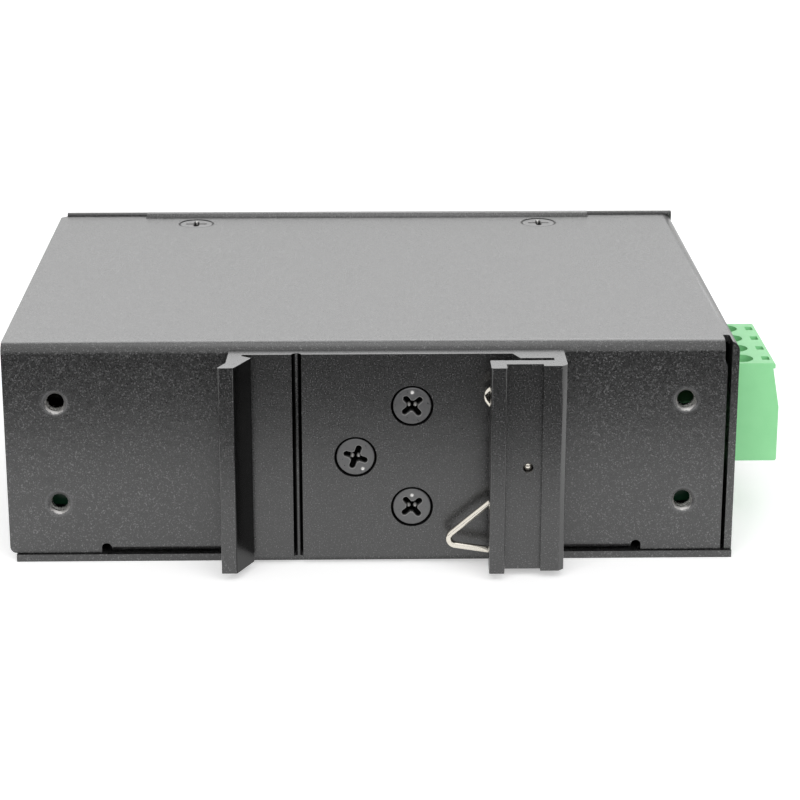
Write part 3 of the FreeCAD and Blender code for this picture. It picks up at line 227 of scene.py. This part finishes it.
# Coat of the sheets and the clip
COAT = {"IOR": 1.76, "Specular_IOR_Level": 0.62}
COAT_SMOOTH = 0.26
COAT_MATT = 0.34
COAT_DARK = (0.003, 0.003, 0.0031, 1)
COAT_LIGHT = (0.006, 0.006, 0.0061, 1)
# Pale specks painted into the colour as the grit's glints: painted highlights
COAT_GLINT_SPECK = (0.118, 0.118, 0.119, 1)
GLINT_SPECK_FROM = 0.585
GLINT_SPECK_FULL = 0.70
PEEL_SIZE = 1.3 * MM
PEEL_DEEP = 0.025 * MM
GRIT_SIZE = 0.17 * MM
GRIT_DEEP = 0.016 * MM

# Painted shade: a near-black metal that reflects almost nothing, put on hollows where shade falls
PAINTED_SHADE = (0.004, 0.004, 0.004, 1)


def sandy_coat(finish, strength):
    """Fine-textured black coat: gritty relief, slight mottling, pale specks painted in as the grit's glints.
    Returns its colour and roughness.
    """
    peel = finish.grain(PEEL_SIZE, detail=2.0)
    grit = finish.grain(GRIT_SIZE, detail=1.5, rough=0.5)
    finish.relief((peel, PEEL_DEEP), (grit, GRIT_DEEP), strength=strength)
    shade = finish.blend(finish.vary(peel), COAT_DARK, COAT_LIGHT)
    # Pale specks: painted highlights standing in for the grit's glints
    shade = finish.blend(finish.span(grit, GLINT_SPECK_FROM, GLINT_SPECK_FULL), shade, COAT_GLINT_SPECK)
    return shade, finish.vary(grit, COAT_SMOOTH, COAT_MATT)


# Bracket holes: smooth collars painted lighter round their mouths as painted highlight, and bright bare
# steel rims widened on the lit lower wall as partly painted light
RIM_DEEP = 4 * MM
COLLAR_FROM = 0.8 * MM
COLLAR_FULL = 0.45 * MM
COLLAR_PAINTED_LIGHT = (0.05, 0.05, 0.051, 1)
# Bare steel of the tapped rims, widened on up-facing walls where light falls: partly painted light
WORN_FROM = 0.12 * MM
WORN_FULL = 0.02 * MM
WORN_LIT_LOWER = 0.42 * MM
WORN_RAGGED = 0.14 * MM
RAGGED_SIZE = 0.45 * MM
BARE_AND_LIT_STEEL = (0.42, 0.41, 0.40, 1)


def powder_coat():
    """Coat of the folded sheets: at the bracket holes smooth collars painted lighter (painted highlight) and
    bright bare lower rims (partly painted light); painted shade in the countersinks.
    """
    finish = Finish("black_coat", **COAT)
    ragged = finish.vary(finish.grain(RAGGED_SIZE, detail=3.0), -WORN_RAGGED, WORN_RAGGED)
    # Bare steel reaches further on surfaces that face up, so the lit lower wall of each hole shows it:
    # partly painted light
    lower = finish.math("MULTIPLY", finish.facing(Z), WORN_LIT_LOWER)
    away = finish.distance(BRACKET_HOLES, (1, 0, 1))
    reach = finish.math("SUBTRACT", finish.math("ADD", away, ragged), lower)
    rear = finish.math("LESS_THAN", finish.along(Y), BRACKET_HOLES[0].y + RIM_DEEP)
    worn_and_lit = finish.span(reach, BRACKET_RADIUS + WORN_FROM, BRACKET_RADIUS + WORN_FULL)
    bare_and_lit = finish.math("MULTIPLY", worn_and_lit, rear)
    # A smooth ring painted lighter round each hole's mouth: painted highlight
    collar_ring = finish.span(away, BRACKET_RADIUS + COLLAR_FROM, BRACKET_RADIUS + COLLAR_FULL)
    collar_light = finish.math("MULTIPLY", collar_ring, rear)
    # The countersink walls round the cover screws get painted shade
    sink_shade = finish.math("MAXIMUM", finish.sinks("top_cover_screws"), finish.sinks("bottom_cover_screws"))
    shade, rough = sandy_coat(finish, finish.math("SUBTRACT", 1.0, collar_light))
    shade = finish.blend(collar_light, shade, COLLAR_PAINTED_LIGHT)
    finish.set("Base Color", finish.blend(bare_and_lit, finish.blend(sink_shade, shade, PAINTED_SHADE), BARE_AND_LIT_STEEL))
    finish.set("Metallic", finish.math("MAXIMUM", sink_shade, bare_and_lit))
    finish.set("Roughness", rough)
    return finish.material


# Faces of the extruded clip
CLIP_FLAT_HALF = 15 * MM
SAWN_FACING = 0.9
SAWN_DARK = (0.022, 0.022, 0.023, 1)
SAWN_LIGHT = (0.040, 0.040, 0.041, 1)
SAW_SIZE = 0.2 * MM
SAW_STRETCH = (40, 1, 1)
SLANT_FROM = 0.2
SLANT_FULL = 0.4
SLANT_GLOSS = 0.12
SLANT_DARK = (0.004, 0.004, 0.004, 1)
SLANT_LIGHT = (0.007, 0.007, 0.007, 1)
# Painted shade on the walls of the groove and on the hook's undercut face
GROOVE_FROM = 0.12
GROOVE_FULL = 0.3
UNDERCUT_SHADE = 0.8


def extruded_black():
    """Coat on the extruded clip: smoother on slanted faces and sawn ends, with painted shade in its
    countersinks, groove walls and hook undercut.
    """
    finish = Finish("black_extrusion", **COAT)
    sawn = finish.math("GREATER_THAN", finish.math("ABSOLUTE", finish.facing(Z)), SAWN_FACING)
    sideways = finish.math("ABSOLUTE", finish.facing(X))
    slanted = finish.span(sideways, SLANT_FROM, SLANT_FULL)
    plain = finish.math("MAXIMUM", sawn, slanted)
    saw = finish.vary(finish.grain(SAW_SIZE, SAW_STRETCH, detail=2.0))
    ends = finish.blend(saw, SAWN_DARK, SAWN_LIGHT)
    sides = finish.blend(saw, SLANT_DARK, SLANT_LIGHT)
    shade, rough = sandy_coat(finish, finish.math("SUBTRACT", 1.0, plain))
    shade = finish.blend(sawn, finish.blend(slanted, shade, sides), ends)
    across = finish.along(X)
    flat = finish.math("LESS_THAN", finish.math("ABSOLUTE", across), CLIP_FLAT_HALF)
    groove_shade = finish.math("MULTIPLY", flat, finish.span(sideways, GROOVE_FROM, GROOVE_FULL))
    hook = finish.math("LESS_THAN", across, -CLIP_FLAT_HALF)
    inward = finish.span(finish.facing(X), SLANT_FROM, SLANT_FULL, end=UNDERCUT_SHADE)
    undercut_shade = finish.math("MULTIPLY", hook, inward)
    # Painted shade: countersinks, groove walls and undercut turn to near-black metal
    hollow_shade = finish.math("MAXIMUM", finish.math("MAXIMUM", finish.sinks("clip_screws"), groove_shade), undercut_shade)
    finish.set("Base Color", finish.blend(hollow_shade, shade, PAINTED_SHADE))
    finish.set("Metallic", hollow_shade)
    finish.set("Roughness", finish.math("SUBTRACT", rough, finish.math("MULTIPLY", slanted, SLANT_GLOSS)))
    return finish.material


# Black oxide of the screws
OXIDE_DARK = (0.042, 0.042, 0.043, 1)
OXIDE_LIGHT = (0.060, 0.060, 0.061, 1)
OXIDE_CLOUD = 0.5 * MM
OXIDE_FINE = 0.12 * MM
CLOUD_DEEP = 0.004 * MM
FINE_DEEP = 0.003 * MM
# Bright steel of real wear, also used for the painted glints in the recess
RUBBED_AND_GLINT_STEEL = (0.72, 0.71, 0.69, 1)
RUBBED_AND_GLINT_FROM = 0.2
RUBBED_AND_GLINT_FULL = 0.5
RUBBED_AND_GLINT_METALLIC = 0.4


def oxide_screw():
    """Black oxide steel: bright steel for real wear and for painted glints, and painted shade inside the
    recess.
    """
    finish = Finish("black_screw", **COAT)
    wear = finish.node("ShaderNodeAttribute", attribute_name="wear").outputs["Fac"]
    pit = finish.node("ShaderNodeAttribute", attribute_name="pit").outputs["Fac"]
    cloud = finish.grain(OXIDE_CLOUD, detail=4.0)
    fine = finish.grain(OXIDE_FINE, detail=2.0)
    rubbed_and_glint = finish.math("MULTIPLY", wear, finish.span(fine, RUBBED_AND_GLINT_FROM, RUBBED_AND_GLINT_FULL))
    dark = finish.blend(pit, finish.blend(finish.vary(cloud), OXIDE_DARK, OXIDE_LIGHT), PAINTED_SHADE)
    finish.set("Base Color", finish.blend(rubbed_and_glint, dark, RUBBED_AND_GLINT_STEEL))
    finish.set("Metallic", finish.math("MAXIMUM", finish.math("MULTIPLY", rubbed_and_glint, RUBBED_AND_GLINT_METALLIC), pit))
    finish.set("Roughness", finish.vary(cloud, start=0.26, end=0.38))
    finish.relief((cloud, CLOUD_DEEP), (fine, FINE_DEEP))
    return finish.material


# Grain of the other finishes
STAIN_SIZE = 2.5 * MM
METAL_DEEP = 0.003 * MM
DRIFT_SIZE = 3.0 * MM
SPARK_DEEP = 0.006 * MM
WEAVE_SCALE = 0.35 / MM
WEAVE_DEEP = 0.004 * MM
LENS_CLOUD = 0.8 * MM
ALONG_Z = (1.0, 1.0, 30.0)
ROUND_Z = (20.0, 20.0, 1.0)


def metal(name, low, high, grain, stretch=(1.0, 1.0, 1.0), smooth=0.2, matt=0.34):
    """Bare or plated metal: colour and gloss vary along its drawing, rolling or plating grain."""
    finish = Finish(name, Metallic=1.0)
    fine = finish.grain(grain, stretch, detail=3.0)
    stain = finish.grain(STAIN_SIZE, detail=3.0)
    both = finish.math("ADD", fine, stain)
    finish.colour(finish.span(both, 2 * NOISE_LOW, 2 * NOISE_HIGH), low, high)
    finish.set("Roughness", finish.vary(fine, smooth, matt))
    finish.relief((fine, METAL_DEEP))
    return finish.material


def moulded(name, low, high, smooth=0.32, matt=0.44, spark=0.3 * MM):
    """Moulded plastic: slight colour drift and a fine spark-eroded surface."""
    finish = Finish(name)
    drift = finish.grain(DRIFT_SIZE, detail=2.0)
    texture = finish.grain(spark, detail=2.0)
    finish.colour(finish.vary(drift), low, high)
    finish.set("Roughness", finish.vary(texture, smooth, matt))
    finish.relief((texture, SPARK_DEEP))
    return finish.material


def laminate():
    """Green solder mask over a woven glass laminate."""
    finish = Finish("board_laminate", Coat_Weight=0.4, Coat_Roughness=0.15)
    inputs = {"Vector": finish.place, "Scale": WEAVE_SCALE, "Distortion": 0.4}
    weave = [finish.node("ShaderNodeTexWave", inputs, bands_direction=axis).outputs["Fac"]
             for axis in ("X", "Y")]
    cloth = finish.math("MAXIMUM", *weave)
    finish.colour(cloth, first=(0.004, 0.026, 0.012), second=(0.006, 0.042, 0.018))
    finish.set("Roughness", finish.span(cloth, low=0.0, high=1.0, start=0.25, end=0.36))
    finish.relief((cloth, WEAVE_DEEP))
    return finish.material


def lamp_lens():
    """Tinted clear epoxy."""
    finish = Finish("lamp_lens", Transmission_Weight=0.7, IOR=1.54)
    cloud = finish.grain(LENS_CLOUD, detail=2.0)
    finish.colour(finish.vary(cloud), first=(0.34, 0.78, 0.42), second=(0.42, 0.86, 0.5))
    finish.set("Roughness", finish.vary(cloud, start=0.06, end=0.14))
    return finish.material


FINISHES = {
    "black_coat": powder_coat(),
    "black_extrusion": extruded_black(),
    "black_screw": oxide_screw(),
    "spring_wire": metal("spring_wire", low=(0.70, 0.66, 0.58), high=(0.86, 0.82, 0.74),
                         grain=0.3 * MM, smooth=0.05, matt=0.13),
    "plated_steel": metal("plated_steel", low=(0.66, 0.66, 0.64), high=(0.78, 0.78, 0.76),
                          grain=0.2 * MM),
    "clamp_metal": metal("clamp_metal", low=(0.64, 0.62, 0.56), high=(0.76, 0.74, 0.68),
                         grain=0.2 * MM, stretch=ALONG_Z),
    "contact_metal": metal("contact_metal", low=(0.70, 0.68, 0.62), high=(0.80, 0.78, 0.73),
                           grain=0.15 * MM),
    "green_plastic": moulded("green_plastic", low=(0.28, 0.70, 0.33), high=(0.30, 0.725, 0.35),
                             smooth=0.46, matt=0.58),
    "board_laminate": laminate(),
    "socket_metal": metal("socket_metal", low=(0.66, 0.66, 0.65), high=(0.80, 0.80, 0.79),
                          grain=0.15 * MM, stretch=ALONG_Z),
    "socket_plastic": moulded("socket_plastic", low=(0.016, 0.016, 0.017), high=(0.026, 0.026, 0.027)),
    "socket_contact": metal("socket_contact", low=(0.78, 0.56, 0.22), high=(0.86, 0.66, 0.30),
                            grain=0.1 * MM, smooth=0.12),
    "ferrite": moulded("ferrite", low=(0.045, 0.045, 0.05), high=(0.075, 0.075, 0.08),
                       smooth=0.5, matt=0.7, spark=0.15 * MM),
    "winding": metal("winding", low=(0.58, 0.27, 0.10), high=(0.76, 0.42, 0.20),
                     grain=0.3 * MM, stretch=ROUND_Z, smooth=0.25, matt=0.4),
    "bobbin_plastic": moulded("bobbin_plastic", low=(0.04, 0.04, 0.04), high=(0.06, 0.06, 0.06)),
    "can_sleeve": moulded("can_sleeve", low=(0.022, 0.022, 0.04), high=(0.036, 0.036, 0.06),
                          smooth=0.2, matt=0.3, spark=0.8 * MM),
    "package_plastic": moulded("package_plastic", low=(0.02, 0.02, 0.02), high=(0.035, 0.035, 0.035),
                               smooth=0.45, matt=0.6, spark=0.12 * MM),
    "lamp_lens": lamp_lens(),
}

for part in RECORD["subparts"]:
    piece = NODES[part["node"]]
    if not piece.material_slots:
        piece.data.materials.append(FINISHES[part["material_slot"]])
    for holder in piece.material_slots:
        holder.material = FINISHES[part["material_slot"]]

# Broken edges of the sheets and the clip
SHEET_EDGE = 0.09 * MM
CLIP_EDGE = 0.08 * MM
EDGE_ANGLE = 35.0
EDGE_SEGMENTS = 2
WELD_REACH = 0.001 * MM


def soften(name, width):
    """Break a node's sharp edges, so that they catch a line of light."""
    piece = NODES[name]
    weld = piece.modifiers.new("Weld", "WELD")
    weld.merge_threshold = WELD_REACH
    bevel = piece.modifiers.new("Edges", "BEVEL")
    bevel.width = width
    bevel.segments = EDGE_SEGMENTS
    bevel.limit_method = "ANGLE"
    bevel.angle_limit = math.radians(EDGE_ANGLE)
    bevel.harden_normals = True
    bevel.use_clamp_overlap = True


soften("housing_shell", SHEET_EDGE)
soften("housing_cover", SHEET_EDGE)
soften("din_clip", CLIP_EDGE)


def add_piece(name, points, faces, slot, **marks):
    """A smooth mesh piece that rides on the housing, with one number a point for each mark."""
    mesh = bpy.data.meshes.new(name)
    mesh.from_pydata(points, [], faces)
    mesh.shade_smooth()
    for mark, values in marks.items():
        mesh.attributes.new(mark, "FLOAT", "POINT").data.foreach_set("value", values)
    piece = bpy.data.objects.new(name, mesh)
    bpy.context.collection.objects.link(piece)
    mesh.materials.append(FINISHES[slot])
    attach(piece, ROOT)
    return piece


def closed_faces(rings, spokes):
    """Faces of a round piece made of one point and then some rings, closed by its last ring."""
    faces = [(0, 1 + spoke, 1 + (spoke + 1) % spokes) for spoke in range(spokes)]
    for ring in range(rings - 1):
        start = 1 + ring * spokes
        for spoke in range(spokes):
            after = (spoke + 1) % spokes
            faces.append((start + spoke, start + spokes + spoke, start + spokes + after, start + after))
    last = 1 + (rings - 1) * spokes
    faces.append(tuple(last + spoke for spoke in reversed(range(spokes))))
    return faces


def smooth(value):
    """Ease a value from 0 to 1, clamped."""
    value = min(max(value, 0.0), 1.0)
    return value * value * (3 - 2 * value)


# Countersunk screws: head, cross recess, the glints of its driver faces painted in as highlights, and a
# struck dimple
SHANK_RADIUS = 1.2 * MM
TIP_CHAMFER = 0.2 * MM
HEAD_BEVEL = 0.15 * MM
HEAD_DROP = 0.14 * MM
RECESS_WALL = 0.09 * MM
RECESS_EYE = 0.80 * MM
RECESS_CONE = 2.25 * MM
RECESS_FLOOR = 1.5 * MM
WING_FROM = 0.5 * MM
WING_TO = 1.32 * MM
WING_HALF = 0.42 * MM
LIP_OUT = 0.03 * MM
LIP_WIDE = 0.05 * MM
LIP_WEAR = 0.2
GLINT_SIDE = 0.44 * MM
GLINT_DROP = 0.06 * MM
GLINT_WIDE = 0.29 * MM
GLINT_TALL = 0.36 * MM
GLINT_FILL = 0.75
GLINT_GAIN = 2.0
GLINT_FROM = 0.5
DIMPLE_RADIUS = 0.36 * MM
DIMPLE_DEEP = 0.16 * MM
DIMPLE_GAIN = 1.5
TWELVE_OCLOCK = 90
CLOCK_HOUR = 30
SPOKES = 144
RECESS_RINGS = 48
FACE_RINGS = 16


def head_height(across, up, spin, edge, dimple):
    """Depth below a screw head's face, its wear with painted glints, and the recess's painted shade, at a
    point of that face.
    """
    reach = math.hypot(across, up)
    inside = RECESS_EYE - reach
    for along, side in ((abs(across), up), (abs(up), across)):
        beyond = along - min(max(along, WING_FROM), WING_TO)
        inside = max(inside, WING_HALF - math.hypot(beyond, side))
    pit = smooth(inside / RECESS_WALL)
    level = across * math.cos(spin) - up * math.sin(spin)
    upward = across * math.sin(spin) + up * math.cos(spin)
    aside = (abs(level) - GLINT_SIDE) / GLINT_WIDE
    above = (upward + GLINT_DROP) / GLINT_TALL
    glint = math.exp(-aside ** 2 - above ** 2)
    # The glints are painted highlights: bright steel set in the wear mark, with the recess shade cleared
    # there
    painted_glint = smooth(GLINT_GAIN * glint - GLINT_FROM)
    depth = pit * min(RECESS_FLOOR, RECESS_CONE - reach) * (1 - GLINT_FILL * glint)
    rim = max(0.0, reach - (edge - HEAD_BEVEL)) / HEAD_BEVEL
    dent = 1 - smooth(math.hypot(across - dimple.x, up - dimple.y) / DIMPLE_RADIUS)
    lip = math.exp(-((inside + LIP_OUT) / LIP_WIDE) ** 2)
    wear = max(LIP_WEAR * lip, painted_glint, smooth(DIMPLE_GAIN * dent))
    # The last value is the recess's painted shade, cleared where the glints are painted
    return max(depth, HEAD_DROP * rim * rim, DIMPLE_DEEP * dent), wear, pit * (1 - painted_glint)


def screw_mesh(low, high, outward, turn, dimple_hour, dimple_place):
    """Countersunk screw in the box of its CAD solid, with a cross recess turned by some degrees."""
    axis = Vector(outward)
    centre, radius = head_place(low, high, outward)
    length = abs(axis.dot(high - low))
    up = Vector((0, axis.z, 0)) if axis.z else Vector((0, 0, 1))
    right = up.cross(axis)
    spin = math.radians(turn)
    clock = math.radians(TWELVE_OCLOCK - CLOCK_HOUR * dimple_hour) - spin
    dimple = Vector((math.cos(clock), math.sin(clock))) * dimple_place
    points, wear, pit = [], [], []

    def add(reach, angle, depth, rubbed_and_glint=0.0, sunk_shade=0.0):
        points.append(centre + (right * math.cos(angle) + up * math.sin(angle)) * reach - axis * depth)
        wear.append(rubbed_and_glint)
        pit.append(sunk_shade)

    edge = radius - HEAD_BEVEL
    recess = WING_TO + WING_HALF + RECESS_WALL
    rings = [recess * ring / RECESS_RINGS for ring in range(1, RECESS_RINGS + 1)]
    rings += [recess + (edge - recess) * ring / FACE_RINGS for ring in range(1, FACE_RINGS + 1)]
    cone = radius - edge + HEAD_DROP
    lower = [(radius - cone, cone), (SHANK_RADIUS, radius - SHANK_RADIUS),
             (SHANK_RADIUS, length - TIP_CHAMFER), (SHANK_RADIUS - TIP_CHAMFER, length)]
    add(0.0, 0.0, *head_height(0.0, 0.0, spin, edge, dimple))
    for reach in rings:
        for spoke in range(SPOKES):
            angle = 2 * math.pi * spoke / SPOKES
            across, rise = reach * math.cos(angle), reach * math.sin(angle)
            add(reach, angle + spin, *head_height(across, rise, spin, edge, dimple))
    for reach, depth in lower:
        for spoke in range(SPOKES):
            add(reach, 2 * math.pi * spoke / SPOKES + spin, depth, sunk_shade=1.0)
    return points, closed_faces(len(rings) + len(lower), SPOKES), wear, pit


def screws(node, *settings):
    """One piece for all the screws of a node, in the order of their places."""
    points, faces, wear, pit = [], [], [], []
    for (low, high), setting in zip(islands(node), settings):
        more, sides, rubbed_and_glint, sunk_shade = screw_mesh(low, high, SCREW_FACES[node], **setting)
        faces += [tuple(index + len(points) for index in side) for side in sides]
        points += more
        wear += rubbed_and_glint
        pit += sunk_shade
    piece = add_piece(node + "_detailed", points, faces, "black_screw", wear=wear, pit=pit)
    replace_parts(piece, node)


SQUARE_ON = {"turn": 0, "dimple_hour": 12, "dimple_place": 1.9 * MM}
screws("clip_screws",
       {"turn": -20, "dimple_hour": 5, "dimple_place": 1.96 * MM},
       {"turn": 40, "dimple_hour": 12, "dimple_place": 1.64 * MM},
       {"turn": 40, "dimple_hour": 12, "dimple_place": 1.9 * MM})
screws("top_cover_screws", SQUARE_ON, SQUARE_ON)
screws("bottom_cover_screws", SQUARE_ON, SQUARE_ON)

# The spring's pin
PIN_STEPS = 10
PIN_SPOKES = 48
PIN_DOME = 0.35 * MM
PIN_SUNK = 0.3 * MM


def domed_pin(node):
    """The spring's pin, with the rounded end that shows in the jaw."""
    low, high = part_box(node)
    low.y += PIN_SUNK
    radius = (high.x - low.x) / 2
    centre = (low + high) / 2
    bend = [math.pi / 2 * step / PIN_STEPS for step in range(1, PIN_STEPS + 1)]
    profile = [(radius * math.sin(angle), low.y + PIN_DOME * (1 - math.cos(angle))) for angle in bend]
    profile.append((radius, high.y))
    points = [Vector((centre.x, low.y, centre.z))]
    for reach, y in profile:
        for spoke in range(PIN_SPOKES):
            angle = 2 * math.pi * spoke / PIN_SPOKES
            across, rise = reach * math.cos(angle), reach * math.sin(angle)
            points.append(Vector((centre.x + across, y, centre.z + rise)))
    faces = closed_faces(len(profile), PIN_SPOKES)
    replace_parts(add_piece(node + "_domed", points, faces, "spring_wire"), node)


domed_pin("spring_pin")

# Thread of the bracket holes, which rises to its full height over a share of its length
THREAD_PITCH = 0.5 * MM
THREAD_DEEP = 0.13 * MM
THREAD_LONG = 1.5 * MM
THREAD_START = 0.52 * MM
THREAD_SKIN = 0.004 * MM
THREAD_RISE_SHARE = 0.25
THREAD_STEPS = 52
THREAD_SPOKES = 48


def thread(name, centre, outward, radius):
    """Helical thread lining a tapped hole, closed behind by a thin sleeve."""
    axis = Vector(outward)
    up = Vector((0, 0, 1))
    right = up.cross(axis)
    points = []
    outer = radius - THREAD_SKIN

    def ring(depth, reach_at):
        for spoke in range(THREAD_SPOKES):
            angle = 2 * math.pi * spoke / THREAD_SPOKES
            reach = reach_at(spoke / THREAD_SPOKES)
            points.append(centre + (right * math.cos(angle) + up * math.sin(angle)) * reach - axis * depth)

    for step in range(THREAD_STEPS + 1):
        depth = THREAD_START + THREAD_LONG * step / THREAD_STEPS
        rise = smooth(step / THREAD_STEPS / THREAD_RISE_SHARE)

        def crest(part):
            phase = (depth / THREAD_PITCH - part) % 1.0
            return outer - THREAD_SKIN - THREAD_DEEP * rise * (1 - abs(2 * phase - 1))

        ring(depth, crest)
    ring(THREAD_START + THREAD_LONG, lambda part: outer)
    ring(THREAD_START, lambda part: outer)
    count = len(points) // THREAD_SPOKES
    faces = []
    for row in range(count):
        start = row * THREAD_SPOKES
        below = (row + 1) % count * THREAD_SPOKES
        for spoke in range(THREAD_SPOKES):
            after = (spoke + 1) % THREAD_SPOKES
            faces.append((start + spoke, start + after, below + after, below + spoke))
    add_piece(name, points, faces, "plated_steel")


for number, hole in enumerate(BRACKET_HOLES, 1):
    thread(f"bracket_thread_{number}", hole, BRACKET["axis"], BRACKET_RADIUS)

# Studio, in metres
WORLD_LIGHT = 0.12
FLOOR_REACH = 0.6
FLOOR_LEVEL = -0.05 * MM
FLOOR_COLOUR = (0.92, 0.92, 0.92, 1)
FLOOR_GLOW = 0.36
CARD_EDGE = -0.093
CARD_DEPTH = 0.8
CARD_HALF = 0.8
CARD_LEVEL = 0.5 * MM
CARD_COLOUR = (0.02, 0.02, 0.02, 1)
SOFTBOXES = {
    "overhead": {"place": (0.0, -0.1, 0.8), "target": (0, 0, 0),
                 "width": 0.7, "height": 0.7, "radiance": 0.8},
    "behind": {"place": (0.0, 1.0, 0.78), "target": (0, 0, 0.02),
               "width": 2.4, "height": 0.8, "radiance": 1.8},
    "front": {"place": (0.1, -1.25, 0.85), "target": (0, 0, 0.02),
              "width": 3.6, "height": 1.56, "radiance": 2.1, "mirrored": False},
}


def seen(tree):
    """1 for rays from the camera, a reflection or a clear piece, and 0 for diffuse light."""
    path = tree.nodes.new("ShaderNodeLightPath")
    total = path.outputs["Is Camera Ray"]
    for kind in ("Is Glossy Ray", "Is Transmission Ray"):
        either = tree.nodes.new("ShaderNodeMath")
        either.operation = "MAXIMUM"
        tree.links.new(total, either.inputs[0])
        tree.links.new(path.outputs[kind], either.inputs[1])
        total = either.outputs[0]
    return total


def surroundings():
    """White surroundings where they are seen, and an even soft level as light."""
    world = bpy.data.worlds.new("studio")
    bpy.context.scene.world = world
    world.use_nodes = True
    tree = world.node_tree
    background = tree.nodes["Background"]
    background.inputs["Color"].default_value = (1, 1, 1, 1)
    span = tree.nodes.new("ShaderNodeMapRange")
    span.inputs["To Min"].default_value = WORLD_LIGHT
    tree.links.new(seen(tree), span.inputs["Value"])
    tree.links.new(span.outputs[0], background.inputs["Strength"])


def stage_sheet(name, low, high, level):
    """Level rectangle between two corners, with a new material. Returns both."""
    mesh = bpy.data.meshes.new(name)
    corners = [(low[0], low[1]), (high[0], low[1]), (high[0], high[1]), (low[0], high[1])]
    mesh.from_pydata([(x, y, level) for x, y in corners], [], [(0, 1, 2, 3)])
    material = bpy.data.materials.new(name)
    material.use_nodes = True
    mesh.materials.append(material)
    sheet = bpy.data.objects.new(name, mesh)
    bpy.context.collection.objects.link(sheet)
    return sheet, material


def floor():
    """White floor that keeps the object's shadow."""
    material = stage_sheet("floor", (-FLOOR_REACH, -FLOOR_REACH), (FLOOR_REACH, FLOOR_REACH), FLOOR_LEVEL)[1]
    tree = material.node_tree
    tree.nodes.clear()
    matt = tree.nodes.new("ShaderNodeBsdfDiffuse")
    matt.inputs["Color"].default_value = FLOOR_COLOUR
    glow = tree.nodes.new("ShaderNodeEmission")
    glow.inputs["Strength"].default_value = FLOOR_GLOW
    both = tree.nodes.new("ShaderNodeAddShader")
    choose = tree.nodes.new("ShaderNodeMixShader")
    out = tree.nodes.new("ShaderNodeOutputMaterial")
    tree.links.new(matt.outputs[0], both.inputs[0])
    tree.links.new(glow.outputs[0], both.inputs[1])
    tree.links.new(seen(tree), choose.inputs[0])
    tree.links.new(matt.outputs[0], choose.inputs[1])
    tree.links.new(both.outputs[0], choose.inputs[2])
    tree.links.new(choose.outputs[0], out.inputs[0])


def dark_card():
    """Black card lying in front of the object that shows in reflections and casts no shadow."""
    far_edge = CARD_EDGE - CARD_DEPTH
    card, material = stage_sheet("dark_card", (-CARD_HALF, far_edge), (CARD_HALF, CARD_EDGE), CARD_LEVEL)
    shader = material.node_tree.nodes["Principled BSDF"]
    shader.inputs["Base Color"].default_value = CARD_COLOUR
    shader.inputs["Roughness"].default_value = 1.0
    shader.inputs["Specular IOR Level"].default_value = 0.0
    card.visible_camera = False
    card.visible_diffuse = False
    card.visible_shadow = False


def softbox(name, place, target, width, height, radiance, mirrored=True):
    """Rectangular panel of even radiance that faces a point."""
    light = bpy.data.lights.new(name, "AREA")
    light.shape = "RECTANGLE"
    light.size = width
    light.size_y = height
    light.energy = radiance * math.pi * width * height
    panel = bpy.data.objects.new(name, light)
    panel.location = place
    panel.rotation_euler = (Vector(target) - Vector(place)).to_track_quat("-Z", "Y").to_euler()
    panel.visible_camera = False
    panel.visible_glossy = mirrored
    bpy.context.collection.objects.link(panel)


surroundings()
floor()
dark_card()
for lamp, settings in SOFTBOXES.items():
    softbox(lamp, **settings)

# Camera at the photograph's view
IMAGE_WIDTH = 800
FOCAL_PIXELS = 2410.0
CAMERA_NEAR = 10 * MM
CAMERA_PLACE = Vector((-2.44, -349.65, 123.39)) * MM
CAMERA_YAW = math.radians(-1.162)
CAMERA_PITCH = math.radians(17.817)
CAMERA_ROLL = math.radians(0.049)

camera = bpy.data.objects.new("camera", bpy.data.cameras.new("camera"))
camera.data.lens = camera.data.sensor_width * FOCAL_PIXELS / IMAGE_WIDTH
camera.data.clip_start = CAMERA_NEAR
heading = Matrix.Rotation(CAMERA_YAW, 4, "Z")
tilt = Matrix.Rotation(math.pi / 2 - CAMERA_PITCH, 4, "X")
roll = Matrix.Rotation(CAMERA_ROLL, 4, "Z")
camera.matrix_world = Matrix.Translation(CAMERA_PLACE) @ heading @ tilt @ roll
bpy.context.collection.objects.link(camera)
bpy.context.scene.camera = camera
bpy.context.scene.view_settings.view_transform = "Standard"
